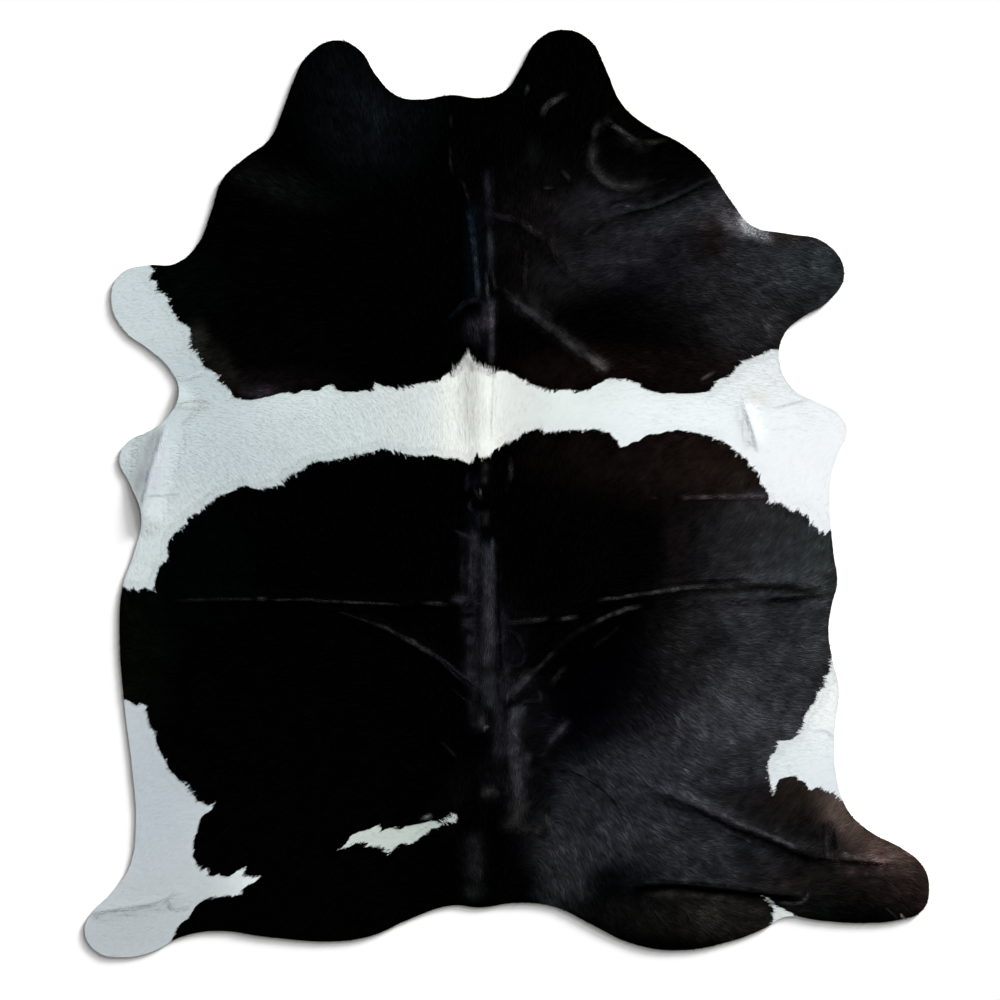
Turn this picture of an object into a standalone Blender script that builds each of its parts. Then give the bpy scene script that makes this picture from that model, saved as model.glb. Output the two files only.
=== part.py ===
"""A cowhide rug, lying flat with its hair side up.

The rug is one piece: a whole cattle hide, trimmed along a smooth outline of neck flaps,
four legs and tail edge. It is modelled as one thin sheet, leather and lying hair together,
which rises a few millimetres off the floor along the creases that folding has left in it.

Units are metres, +Z is up, +Y points to the neck, and the origin is on the floor under the
middle of the rug. The outline and the creases are read from the reference picture, in its
pixels, and the rug's real length sets their scale.
"""

import math
from typing import NamedTuple

import bpy
import numpy as np
from mathutils import Vector, geometry

# ---------------------------------------------------------------- driving dimensions, metres
RUG_LENGTH = 2.20        # neck flaps to hind feet; the width follows from the outline
LEATHER = 0.002          # the tanned skin
LYING_HAIR = 0.003       # the short coat, lying flat on the skin
THICKNESS = LEATHER + LYING_HAIR

# ---------------------------------------------------------------- how finely it is divided
OUTLINE_STEPS = 4        # stretches of edge between two landmarks
CREASE_STEPS = 8         # the same between two points of a crease
CREASE_SPACING = 0.038   # metres between points along a crease
CREASE_ROWS = (-1.0, -0.5, 0.0, 0.5, 1.0)   # rows of points across it, in parts of its reach
LATTICE = 0.072          # metres between the points of the flat ground
EDGE_CLEARANCE = 0.010   # metres that inner points keep from the outline
ROW_CLEARANCE = 0.030    # metres that ground points keep from a crease's points
MERGE = 1e-5             # metres within which two points are one

HAIR_COLOUR = (0.035, 0.031, 0.030, 1.0)
HAIR_ROUGHNESS = 0.55
SMOOTH_ANGLE = math.radians(40.0)


class Landmark(NamedTuple):
    """A point of the outline, in pixels of the reference picture."""

    place: str
    x: float
    y: float


class Crease(NamedTuple):
    """A soft ridge: its height, half its width, how far it fades at the ends, its route."""

    name: str
    height: float
    reach: float
    fade: float
    route: tuple


# The outline runs clockwise as seen from above, one table for each stretch of the edge.
NECK = (
    Landmark("left shoulder crook", 270.0, 139.0),
    Landmark("left neck flap, outer side", 283.0, 110.0),
    Landmark("left neck flap, outer side", 294.0, 80.5),
    Landmark("left neck flap, outer corner", 307.0, 56.5),
    Landmark("left neck flap, tip", 336.0, 40.5),
    Landmark("left neck flap, inner corner", 361.0, 51.5),
    Landmark("left neck flap, inner side", 375.0, 74.0),
    Landmark("neck notch, left end", 397.0, 96.0),
    Landmark("neck notch, left hollow", 420.0, 99.8),
    Landmark("neck notch, middle", 452.0, 95.3),
    Landmark("neck notch, right hollow", 480.0, 98.2),
    Landmark("neck notch, right end", 505.0, 91.0),
    Landmark("right neck flap, inner side", 520.0, 70.0),
    Landmark("right neck flap, inner corner", 538.0, 40.0),
    Landmark("right neck flap, tip", 563.0, 30.0),
    Landmark("right neck flap, outer corner", 590.0, 40.5),
    Landmark("right neck flap, outer side", 605.0, 67.5),
    Landmark("right neck crook", 622.0, 104.5),
)
RIGHT_FORELEG = (
    Landmark("right shoulder, upper", 650.0, 128.0),
    Landmark("right shoulder, middle", 680.0, 143.0),
    Landmark("right shoulder, lower", 706.0, 165.0),
    Landmark("right foreleg, upper side", 730.0, 200.0),
    Landmark("right foreleg, crook", 753.0, 226.5),
    Landmark("right foreleg, shank top", 785.0, 233.5),
    Landmark("right foot, upper corner", 825.0, 243.0),
    Landmark("right foot, tip", 844.0, 273.0),
    Landmark("right foot, lower corner", 830.0, 299.5),
    Landmark("right foreleg, lower side", 800.0, 318.5),
    Landmark("right armpit, upper", 785.0, 332.5),
    Landmark("right armpit, middle", 779.0, 358.0),
    Landmark("right armpit, lower", 792.0, 388.0),
    Landmark("right belly flap, upper side", 820.0, 403.5),
    Landmark("right belly flap, upper corner", 838.0, 413.5),
    Landmark("right belly flap, tip", 847.0, 430.5),
    Landmark("right belly flap, lower corner", 838.5, 453.0),
    Landmark("right belly flap, foot", 831.5, 474.0),
)
RIGHT_FLANK = (
    Landmark("right flank, upper", 830.0, 512.0),
    Landmark("right flank, upper swell", 833.5, 555.0),
    Landmark("right flank, knuckle", 837.0, 582.0),
    Landmark("right flank, below the knuckle", 831.5, 605.0),
    Landmark("right flank, hollow", 828.2, 631.0),
    Landmark("right flank, lower side", 832.3, 660.0),
    Landmark("right flank, lower swell", 838.7, 688.0),
    Landmark("right flank, foot", 834.4, 730.0),
)
RIGHT_HIND_LEG = (
    Landmark("right thigh", 836.0, 775.0),
    Landmark("right hock, upper", 847.5, 810.0),
    Landmark("right hock, lower", 870.0, 831.5),
    Landmark("right hind foot, upper side", 903.0, 849.0),
    Landmark("right hind foot, upper corner", 922.0, 865.0),
    Landmark("right hind foot, tip", 928.8, 885.0),
    Landmark("right hind foot, lower corner", 922.0, 910.5),
    Landmark("right hind foot, sole", 900.0, 919.2),
    Landmark("right hind leg, lower side", 862.0, 922.7),
    Landmark("right hind leg, hollow", 820.0, 920.3),
    Landmark("right hind leg, crook", 784.0, 916.6),
)
TAIL_EDGE = (
    Landmark("right rump, outer corner", 766.0, 927.0),
    Landmark("right rump, outer side", 730.0, 941.0),
    Landmark("right rump, lowest", 675.0, 950.0),
    Landmark("right rump, inner side", 630.0, 942.5),
    Landmark("right rump, inner slope", 590.0, 923.3),
    Landmark("tail edge, right shoulder", 556.0, 907.0),
    Landmark("tail edge, right hollow", 518.0, 902.4),
    Landmark("tail edge, middle", 480.0, 907.3),
    Landmark("tail edge, left hollow", 452.0, 905.2),
    Landmark("left rump, inner slope", 410.0, 918.6),
    Landmark("left rump, inner side", 372.0, 935.3),
    Landmark("left rump, lowest", 335.0, 941.0),
    Landmark("left rump, outer side", 270.0, 937.0),
    Landmark("left rump, hollow", 215.0, 930.6),
)
LEFT_HIND_LEG = (
    Landmark("left hind foot, sole crook", 179.0, 937.4),
    Landmark("left hind foot, sole", 152.0, 951.5),
    Landmark("left hind foot, lower side", 122.0, 956.8),
    Landmark("left hind foot, lower corner", 97.0, 951.3),
    Landmark("left hind foot, tip", 84.9, 930.0),
    Landmark("left hind foot, upper corner", 92.5, 912.0),
    Landmark("left hind foot, upper side", 113.0, 891.5),
    Landmark("left hock", 130.0, 866.0),
    Landmark("left thigh", 136.1, 825.0),
)
LEFT_FLANK = (
    Landmark("left flank, lower side", 132.7, 770.4),
    Landmark("left flank, lower swell", 125.2, 708.8),
    Landmark("left flank, middle", 120.0, 640.0),
    Landmark("left flank, upper swell", 122.6, 588.0),
    Landmark("left flank, upper side", 133.8, 554.5),
    Landmark("left flank, crook", 142.0, 515.0),
    Landmark("left belly flap, lower side", 131.3, 485.6),
    Landmark("left belly flap, tip", 119.7, 459.5),
    Landmark("left belly flap, upper corner", 127.0, 443.0),
    Landmark("left belly flap, upper side", 153.0, 429.5),
)
LEFT_FORELEG = (
    Landmark("left armpit, lower", 169.5, 415.9),
    Landmark("left armpit, middle", 179.5, 393.0),
    Landmark("left armpit, upper", 170.0, 369.0),
    Landmark("left foreleg, lower side", 149.0, 349.2),
    Landmark("left foreleg, shank", 125.0, 331.0),
    Landmark("left foot, tip", 111.5, 300.5),
    Landmark("left foot, upper corner", 121.0, 274.0),
    Landmark("left foot, upper side", 147.0, 265.3),
    Landmark("left foreleg, crook", 174.6, 264.1),
    Landmark("left foreleg, upper side", 197.0, 246.0),
    Landmark("left foreleg, upper slope", 211.5, 212.0),
    Landmark("left shoulder, lower", 223.0, 179.0),
    Landmark("left shoulder, upper", 246.0, 157.5),
)
OUTLINE = (
    NECK + RIGHT_FORELEG + RIGHT_FLANK + RIGHT_HIND_LEG
    + TAIL_EDGE + LEFT_HIND_LEG + LEFT_FLANK + LEFT_FORELEG
)

# Heights, reaches and fades are metres; each route is picture pixels from end to end.
CREASES = (
    Crease("spine", 0.004, 0.040, 0.150,
           ((452, 122), (452, 172), (470, 225), (478, 330), (481, 470), (482, 620),
            (478, 770), (474, 880))),
    Crease("waist, left", 0.005, 0.022, 0.080,
           ((172, 602), (262, 598), (335, 602), (400, 604), (466, 603))),
    Crease("waist, middle", 0.004, 0.018, 0.040,
           ((509, 623), (543, 620), (580, 617))),
    Crease("waist, right", 0.006, 0.024, 0.060,
           ((597, 602), (635, 594), (688, 587), (742, 582), (790, 583), (829, 590))),
    Crease("waist, right, second", 0.004, 0.015, 0.060,
           ((660, 606), (700, 601), (760, 596), (816, 597))),
    Crease("rump, left", 0.005, 0.024, 0.060,
           ((337, 611), (376, 626), (414, 645), (452, 670), (486, 690))),
    Crease("rump, right", 0.005, 0.024, 0.060,
           ((502, 699), (521, 681), (548, 658), (568, 638), (600, 620), (640, 608))),
    Crease("rump, right, second", 0.003, 0.016, 0.040,
           ((566, 665), (553, 683), (540, 696))),
    Crease("rump, right, lower", 0.004, 0.020, 0.050,
           ((577, 711), (562, 731), (545, 752))),
    Crease("rump, left, lower", 0.003, 0.018, 0.040,
           ((428, 731), (444, 748), (458, 765))),
    Crease("right shoulder", 0.005, 0.024, 0.060,
           ((712, 178), (660, 204), (620, 216), (585, 228))),
    Crease("right shoulder, swirl", 0.003, 0.020, 0.040,
           ((660, 141), (638, 141), (622, 130), (606, 118), (594, 132), (588, 155),
            (595, 178), (613, 189), (650, 182))),
    Crease("chest, upper", 0.003, 0.040, 0.070,
           ((510, 222), (542, 244), (575, 275))),
    Crease("chest, lower", 0.004, 0.036, 0.070,
           ((503, 289), (523, 305), (545, 323), (580, 351), (602, 369))),
    Crease("right thigh", 0.006, 0.026, 0.070,
           ((645, 786), (700, 807), (770, 839), (830, 862), (895, 865))),
    Crease("right tail edge", 0.005, 0.022, 0.060,
           ((600, 885), (690, 886), (760, 892), (806, 897))),
    Crease("left belly flap", 0.010, 0.060, 0.0,
           ((176, 404), (165, 424), (157, 456), (149, 486), (143, 512))),
    Crease("right belly flap", 0.005, 0.024, 0.040,
           ((743, 400), (751, 425), (758, 452))),
    Crease("left hind leg", 0.004, 0.020, 0.040,
           ((90, 914), (130, 907), (165, 900), (190, 886))),
)


def clear_scene():
    """Remove every object that the open file holds."""
    for obj in list(bpy.data.objects):
        bpy.data.objects.remove(obj, do_unlink=True)


def smooth_route(points, closed, steps):
    """Points along a smooth Bezier curve through picture points, y turned to point up."""
    curve = bpy.data.curves.new("route", "CURVE")
    curve.dimensions = "2D"
    spline = curve.splines.new("BEZIER")
    spline.use_cyclic_u = closed
    spline.bezier_points.add(len(points) - 1)
    for knot, (x, y) in zip(spline.bezier_points, points):
        knot.co = (x, -y, 0.0)
        knot.handle_left_type = "AUTO"
        knot.handle_right_type = "AUTO"
    guide = bpy.data.objects.new("route", curve)
    bpy.context.scene.collection.objects.link(guide)
    bpy.context.view_layer.update()

    knots = list(spline.bezier_points)
    pairs = list(zip(knots, knots[1:]))
    if closed:
        pairs.append((knots[-1], knots[0]))
    path = []
    for start, end in pairs:
        stretch = geometry.interpolate_bezier(
            start.co, start.handle_right, end.handle_left, end.co, steps + 1
        )
        path.extend(stretch[:-1])
    if not closed:
        path.append(knots[-1].co.copy())
    result = np.array([(point.x, point.y) for point in path])
    bpy.data.objects.remove(guide, do_unlink=True)
    bpy.data.curves.remove(curve)
    return result


class Scale:
    """Turns picture points into metres, with the rug's middle at the origin."""

    def __init__(self, outline_pixels):
        low = outline_pixels.min(axis=0)
        high = outline_pixels.max(axis=0)
        self.middle = (low + high) / 2.0
        self.metres_per_pixel = RUG_LENGTH / (high[1] - low[1])

    def metres(self, pixels):
        return (pixels - self.middle) * self.metres_per_pixel


def even_points(path, spacing):
    """The path again, with points at even steps of about the given spacing."""
    steps = np.linalg.norm(np.diff(path, axis=0), axis=1)
    run = np.concatenate(([0.0], np.cumsum(steps)))
    count = max(3, int(round(run[-1] / spacing)) + 1)
    wanted = np.linspace(0.0, run[-1], count)
    return np.column_stack([np.interp(wanted, run, path[:, axis]) for axis in (0, 1)])


def distance_to_path(points, path):
    """For each point, its distance to the path and how far along the path it lies."""
    start = path[:-1]
    span = np.diff(path, axis=0)
    length = np.linalg.norm(span, axis=1)
    run = np.concatenate(([0.0], np.cumsum(length)))[:-1]
    offset = points[:, None, :] - start[None, :, :]
    share = np.clip((offset * span).sum(axis=2) / (length ** 2), 0.0, 1.0)
    gap = np.linalg.norm(offset - share[:, :, None] * span, axis=2)
    nearest = gap.argmin(axis=1)
    rows = np.arange(len(points))
    return gap[rows, nearest], run[nearest] + share[rows, nearest] * length[nearest]


def inside(points, outline):
    """Whether each point lies in the closed outline: an odd number of edges to its right."""
    ahead = np.roll(outline, -1, axis=0)
    x, y = points[:, :1], points[:, 1:]
    crosses = (outline[:, 1] > y) != (ahead[:, 1] > y)
    rise = np.where(ahead[:, 1] == outline[:, 1], 1.0, ahead[:, 1] - outline[:, 1])
    meets = outline[:, 0] + (y - outline[:, 1]) * (ahead[:, 0] - outline[:, 0]) / rise
    return (crosses & (x < meets)).sum(axis=1) % 2 == 1


def well_inside(points, outline):
    """Whether each point lies in the outline, clear of its edge."""
    closed = np.vstack([outline, outline[:1]])
    gap, _ = distance_to_path(points, closed)
    return inside(points, outline) & (gap > EDGE_CLEARANCE)


def crease_rows(path, reach):
    """Rows of points side by side along a crease, so that its slopes have their shape."""
    along = np.gradient(path, axis=0)
    along /= np.linalg.norm(along, axis=1)[:, None]
    across = np.column_stack([-along[:, 1], along[:, 0]])
    return [path + across * reach * share for share in CREASE_ROWS]


def ground_lattice(outline):
    """A lattice of even triangles over the whole outline."""
    low = outline.min(axis=0)
    high = outline.max(axis=0)
    row_gap = LATTICE * math.sqrt(3.0) / 2.0
    points = []
    for row, y in enumerate(np.arange(low[1], high[1], row_gap)):
        shift = LATTICE / 2.0 if row % 2 else 0.0
        points.extend((x, y) for x in np.arange(low[0] + shift, high[0], LATTICE))
    return np.array(points)


def rise(points, creases):
    """Height of the skin's underside: each crease is a bell across and fades at its ends.

    Across a crease the height is h (1 - (d / reach)^2)^2 at distance d. Heights that
    overlap are combined as the root of their summed squares, so crossings don't pile up.
    """
    total = np.zeros(len(points))
    for crease, path in creases:
        gap, along = distance_to_path(points, path)
        bell = np.clip(1.0 - (gap / crease.reach) ** 2, 0.0, None) ** 2
        if crease.fade > 0.0:
            length = np.linalg.norm(np.diff(path, axis=0), axis=1).sum()
            to_end = np.clip(np.minimum(along, length - along) / crease.fade, 0.0, 1.0)
            bell *= to_end ** 2 * (3.0 - 2.0 * to_end)
        total += (crease.height * bell) ** 2
    return np.sqrt(total)


def sheet_mesh(outline, creases):
    """The open sheet: triangles within the outline, with rows of points at each crease."""
    points = [outline]
    edges = []
    count = len(outline)
    for crease, path in creases:
        for row in crease_rows(even_points(path, CREASE_SPACING), crease.reach):
            kept = row[well_inside(row, outline)]
            edges.extend((count + step, count + step + 1) for step in range(len(kept) - 1))
            points.append(kept)
            count += len(kept)

    crease_points = np.vstack(points[1:])
    lattice = ground_lattice(outline)
    lattice = lattice[well_inside(lattice, outline)]
    gap = np.linalg.norm(lattice[:, None, :] - crease_points[None, :, :], axis=2).min(axis=1)
    points.append(lattice[gap > ROW_CLEARANCE])

    flat = [Vector(point) for point in np.vstack(points)]
    within_constraints = 1
    placed, _, faces, *_ = geometry.delaunay_2d_cdt(
        flat, edges, [list(range(len(outline)))], within_constraints, MERGE
    )
    used = sorted({corner for face in faces for corner in face})
    number = {old: new for new, old in enumerate(used)}
    ground = np.array([tuple(placed[old]) for old in used])
    height = rise(ground, creases)

    mesh = bpy.data.meshes.new("hide")
    mesh.from_pydata(
        np.column_stack([ground, height]).tolist(),
        [],
        [[number[corner] for corner in face] for face in faces],
    )
    mesh.update()
    return mesh


def hair_material():
    """The short glossy coat, in its main colour."""
    material = bpy.data.materials.new("cattle_hair")
    material.use_nodes = True
    shader = material.node_tree.nodes["Principled BSDF"]
    shader.inputs["Base Color"].default_value = HAIR_COLOUR
    shader.inputs["Roughness"].default_value = HAIR_ROUGHNESS
    shader.inputs["Metallic"].default_value = 0.0
    return material


def build_hide(collection):
    """The hide: the open sheet, thickened upward from its underside."""
    outline_pixels = smooth_route([(mark.x, mark.y) for mark in OUTLINE], True, OUTLINE_STEPS)
    scale = Scale(outline_pixels)
    outline = scale.metres(outline_pixels)[::-1]
    creases = [
        (crease, scale.metres(smooth_route(crease.route, False, CREASE_STEPS)))
        for crease in CREASES
    ]
    mesh = sheet_mesh(outline, creases)
    mesh.materials.append(hair_material())
    hide = bpy.data.objects.new("hide", mesh)
    collection.objects.link(hide)

    thicken = hide.modifiers.new("thickness", "SOLIDIFY")
    thicken.thickness = THICKNESS
    thicken.offset = 1.0
    mesh.shade_smooth()
    mesh.set_sharp_from_angle(angle=SMOOTH_ANGLE)
    return hide


def main():
    clear_scene()
    collection = bpy.data.collections.new("cowhide_rug")
    bpy.context.scene.collection.children.link(collection)
    build_hide(collection)


main()
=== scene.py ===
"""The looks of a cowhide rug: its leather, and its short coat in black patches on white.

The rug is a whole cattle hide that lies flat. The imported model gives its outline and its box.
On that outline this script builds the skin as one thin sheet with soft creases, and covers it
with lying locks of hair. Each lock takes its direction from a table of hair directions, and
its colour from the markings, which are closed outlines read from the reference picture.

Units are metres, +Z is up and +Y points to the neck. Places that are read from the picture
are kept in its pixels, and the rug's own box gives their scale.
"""

from __future__ import annotations

import logging
import math
from dataclasses import dataclass, field
from enum import Enum
from typing import NamedTuple

import bpy
import numpy as np
from bpy.types import Material, Mesh, Node, NodeSocket, Object
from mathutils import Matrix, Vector
from numpy.typing import NDArray

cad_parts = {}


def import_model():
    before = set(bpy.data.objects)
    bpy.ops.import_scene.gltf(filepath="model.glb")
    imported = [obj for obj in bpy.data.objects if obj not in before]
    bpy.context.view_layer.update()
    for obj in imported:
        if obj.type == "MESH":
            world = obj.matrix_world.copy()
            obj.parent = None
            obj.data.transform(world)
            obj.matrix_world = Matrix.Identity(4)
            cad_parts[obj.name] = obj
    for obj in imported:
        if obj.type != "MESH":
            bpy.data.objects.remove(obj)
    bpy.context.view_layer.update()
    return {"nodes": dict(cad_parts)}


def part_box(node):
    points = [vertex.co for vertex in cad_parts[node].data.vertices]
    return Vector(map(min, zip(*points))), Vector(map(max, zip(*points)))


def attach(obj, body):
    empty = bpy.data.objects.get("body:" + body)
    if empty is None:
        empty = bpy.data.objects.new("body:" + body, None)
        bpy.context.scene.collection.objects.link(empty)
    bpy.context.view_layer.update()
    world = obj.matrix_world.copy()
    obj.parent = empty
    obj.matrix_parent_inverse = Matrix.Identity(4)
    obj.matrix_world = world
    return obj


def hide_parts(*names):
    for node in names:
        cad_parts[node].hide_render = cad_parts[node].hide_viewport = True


Array = NDArray[np.float64]
Whole = NDArray[np.int64]
Flags = NDArray[np.bool_]
Pair = tuple[float, float]
Row = tuple[float, ...]                        # places in pixels: x, y, x, y and so on
Colour = float | tuple[float, float, float]    # display levels up to 255; one number is a grey

LOG = logging.getLogger("cowhide_rug")
NODE = "hide"
SEED = 20240611
CHUNK = 12000            # points worked on at a time, which bounds the memory used
ROUTE_STEPS = 8          # new points for each stretch of a route when it is smoothed

# What the meshes carry for their finishes.
LOCK_COLOUR = "lock_colour"
MARKING = "marking"
BLACK_SHADE = "black_shade"
WHITE_SHADE = "white_shade"


# -------------------- tables, in picture pixels


class Crease(NamedTuple):
    """A soft ridge. Height, reach and fade are metres; the route is pixels."""

    height: float        # of its top above the flat skin
    reach: float         # half its width
    fade: float          # length over which it dies away at each end
    route: Row


class Line(NamedTuple):
    """A narrow streak of another tone, such as the painted shade in a pressed line or a painted stripe of
    sheen.
    """

    half_width: float    # pixels from its middle to where it is half as strong
    strength: float      # share of its own tone at its middle, from 0 to 1
    colour: Colour
    route: Row


class Tone(NamedTuple):
    """A soft oval area of another tone on the hair. The tables use it for the hair's own colour and for
    painted sheen, highlights and shade.
    """

    x: float
    y: float
    wide: float          # reach along its long axis, pixels
    high: float          # reach across it, pixels
    turn: float          # of the long axis, degrees anticlockwise
    strength: float      # its weight beside the coat's plain colour, which weighs 1
    colour: Colour


CREASES = tuple(Crease(*row) for row in (
    # along the spine
    (0.004, 0.04, 0.15, (452, 122, 452, 172, 470, 225, 478, 330, 481, 470, 482, 620, 478, 770, 474, 880)),
    # waist
    (0.005, 0.022, 0.08, (172, 602, 262, 598, 335, 602, 400, 604, 466, 603)),
    (0.004, 0.018, 0.04, (509, 623, 543, 620, 580, 617)),
    (0.006, 0.024, 0.06, (597, 602, 635, 594, 688, 587, 742, 582, 790, 583, 829, 590)),
    (0.004, 0.015, 0.06, (660, 606, 700, 601, 760, 596, 816, 597)),
    # rump
    (0.005, 0.024, 0.06, (337, 611, 376, 626, 414, 645, 452, 670, 486, 690)),
    (0.005, 0.024, 0.06, (502, 699, 521, 681, 548, 658, 568, 638, 600, 620, 640, 608)),
    (0.003, 0.016, 0.04, (566, 665, 553, 683, 540, 696)),
    (0.004, 0.02, 0.05, (577, 711, 562, 731, 545, 752)),
    (0.003, 0.018, 0.04, (428, 731, 444, 748, 458, 765)),
    # right shoulder
    (0.005, 0.024, 0.06, (712, 178, 660, 204, 620, 216, 585, 228)),
    (0.003, 0.02, 0.04, (660, 141, 638, 141, 622, 130, 606, 118, 594, 132, 588, 155, 595, 178, 613, 189,
        650, 182)),
    # chest
    (0.003, 0.04, 0.07, (510, 222, 542, 244, 575, 275)),
    (0.004, 0.036, 0.07, (503, 289, 523, 305, 545, 323, 580, 351, 602, 369)),
    # right thigh and tail edge
    (0.006, 0.026, 0.07, (645, 786, 700, 807, 770, 839, 830, 862, 895, 865)),
    (0.005, 0.022, 0.06, (600, 885, 690, 886, 760, 892, 806, 897)),
    # belly flaps
    (0.01, 0.06, 0, (176, 404, 165, 424, 157, 456, 149, 486, 143, 512)),
    (0.005, 0.024, 0.04, (743, 400, 751, 425, 758, 452)),
    # left hind leg
    (0.004, 0.02, 0.04, (90, 914, 130, 907, 165, 900, 190, 886)),
))

# The edges between black and white hair. Each is read from left to right, or from top to
# bottom, and starts and ends on the rug's own outline.
FRONT_PATCH_FOOT = (
    150, 265.3, 151.5, 267.2, 154.1, 271.7, 150.3, 276.2, 151.5, 279.4, 156.7, 281.3, 157.9, 285.1,
    156, 290.3, 159.9, 292.8, 164.4, 294.1, 166.9, 297.9, 169.5, 299.9, 168.2, 303.7, 172.1, 308.2,
    173.3, 312.1, 177.2, 317.2, 179.7, 322.3, 184.9, 324.2, 190, 328.1, 191.3, 333.8, 190.6, 339,
    191.3, 344.1, 190, 348.6, 195.1, 350.5, 199, 355.6, 200.9, 360.8, 204.1, 365.9, 208.6, 370.4,
    215.6, 372.3, 219.5, 377.4, 220.1, 382.6, 225.9, 386.4, 230.4, 389.6, 232.3, 395.4, 234.9, 397.9,
    241.3, 399.2, 251.5, 399.9, 261.8, 398, 273.3, 395.4, 279.7, 392.8, 289.5, 392.8, 296.6, 393.8,
    300.8, 390, 309.3, 390.6, 317.7, 391.4, 320.5, 388.5, 326.2, 385.7, 330.4, 384.3, 332.5, 382.9,
    334.6, 386.4, 337.5, 390, 343.1, 391.4, 351.8, 392, 361.2, 390.6, 369.6, 390, 373.9, 387.8, 374.6, 382.2,
    380.9, 384.3, 385.1, 386.4, 396.4, 387.8, 400.6, 386.4, 410.5, 385.7, 419, 382.9, 430.3, 381.5,
    441.6, 379.4, 443, 375.8, 448, 372.5, 456, 369, 459, 364.5, 463, 358.5, 466, 353.5, 468, 351.5, 471, 356,
    473, 360.5, 477, 364.5, 481, 366.5, 487, 368.5, 493, 371, 502, 370.5, 510.7, 372.3, 516.3, 374.4,
    520.5, 378.7, 526.2, 380.1, 529.7, 383.6, 534.6, 385, 540.3, 386.4, 544.5, 388.5, 551.6, 390.4,
    560, 389.8, 580, 390.3, 591.7, 388.7, 595, 384.2, 603.3, 382.5, 606.7, 378.3, 611.7, 377.8, 628.3, 379.2,
    633.3, 381.3, 640, 383.7, 645, 388.3, 653.3, 391.3, 663.3, 393.7, 673.3, 392.5, 680, 393.7, 693.3, 393.3,
    708.3, 392, 711.7, 388.3, 715, 385, 715.8, 380.8, 723.3, 377.5, 728.3, 377.2, 731.7, 373.3, 734.2, 369.2,
    740, 365, 743.3, 360, 750, 358, 758.3, 355.8, 763.3, 353.3, 771.7, 349.2, 778.3, 349.7, 779.7, 347.5,
)
REAR_PATCH_HEAD = (
    123.5, 586, 125.8, 587.7, 129.8, 589.4, 134.4, 587.7, 136.2, 591.7, 140.8, 588.8, 146.5, 587.7, 150, 590,
    152.9, 591.2, 154.6, 585.4, 156.3, 579.6, 158.1, 572.7, 160.4, 565.8, 165, 562, 169, 557.5, 167.6, 551.2,
    168.3, 544.1, 170.5, 538.5, 174.7, 532.8, 179.6, 531.4, 181, 527.9, 186.7, 523, 187.4, 518.7,
    192.3, 515.2, 199.4, 512.4, 203.6, 507.4, 209.2, 503.2, 216.3, 498.3, 220.5, 494.8, 229, 493.1,
    234.6, 489.8, 240.3, 486.3, 247.3, 486, 253, 488.4, 261.4, 489.8, 267.1, 487, 274.1, 486.3, 282.6, 484.9,
    285.4, 481.4, 288.2, 477.1, 295.3, 473.6, 301.6, 470.1, 306.6, 465.8, 319.3, 460.9, 331.9, 461.3,
    337.6, 458.8, 350.3, 456.7, 360.2, 454.6, 366.4, 452.7, 372.8, 452, 380.5, 448.8, 386.9, 448.5,
    390.8, 450.8, 399.7, 452.3, 407.4, 454, 417.7, 456.5, 427.9, 455.3, 434.4, 454.6, 439.5, 456.5,
    444.6, 458.7, 452.3, 457.8, 460, 459.7, 463.8, 461.3, 469, 464.2, 471.5, 462.3, 474.1, 458.5,
    476.7, 453.3, 480.5, 459.1, 484.4, 457.8, 488.2, 457.2, 490.8, 454, 493.3, 450.8, 498.5, 447.6,
    506.2, 443.1, 511.3, 441.2, 519, 437.3, 524.1, 432.8, 531.8, 430.9, 537.6, 428.3, 541.4, 429.6,
    544.6, 433, 549.2, 431.5, 560, 431.5, 570.8, 430, 584.6, 430, 593.8, 428.5, 601.5, 430.8, 609.2, 432.3,
    612.3, 436.9, 616.9, 439.2, 619.2, 446.2, 620, 447.4, 627.7, 445.4, 632.3, 442.3, 640, 440.8,
    643.1, 436.9, 650.8, 433.8, 660, 433.8, 667.7, 430.8, 678.5, 430, 689.2, 431.5, 700, 433.8, 710.8, 436.2,
    713.8, 439.2, 723.1, 440.8, 729.2, 445.4, 738.5, 453.1, 747.7, 460.8, 752.3, 467.7, 758.5, 473.1,
    760.2, 480.1, 763.6, 486.8, 768.4, 495, 768.8, 503.7, 773.7, 503.2, 776.5, 502.2, 782.3, 502.7,
    785.2, 505.6, 789, 509.4, 792.9, 512.3, 795.3, 513.3, 796.3, 508.5, 799.6, 510.9, 802.5, 515.2,
    805.4, 517.1, 806.2, 511.8, 808.8, 518.1, 809.7, 526.7, 812.6, 520.5, 814.5, 527.7, 816.9, 526.7,
    818.8, 533.5, 823.7, 530.1, 824.1, 536.3, 829.6, 530.1,
)
REAR_PATCH_RIGHT = (
    831.2, 655, 830.6, 661.9, 830, 671.2, 826, 674.6, 825.4, 680.4, 823.7, 685, 820.8, 690.2, 816.2, 693.1,
    815.6, 697.7, 815, 704, 810.4, 704.6, 808.7, 709.2, 804.6, 713.8, 802.9, 718.5, 803.5, 721.9,
    801.7, 728.3, 797.7, 733.5, 794.2, 737.5, 788.5, 740.4, 777.5, 740.4, 776.9, 750.8, 772.3, 753.7,
    770.6, 757.7, 768.3, 760.6, 767.7, 768.1, 769.4, 778.5, 770.6, 788.8, 772.3, 794.6, 774, 797.5,
    775.2, 792.3, 776.3, 784.2, 778.7, 779.6, 783.8, 777.3, 789.6, 776.7, 796, 775.6, 797.7, 780.2,
    802.9, 780.2, 806.3, 784.2, 808.1, 788.8, 812.1, 790.6, 814.4, 787.1, 820.8, 787.7, 826.5, 789.4,
    830, 793.5, 832.3, 792.3, 836.9, 795.2, 840.4, 799.8,
)
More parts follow.
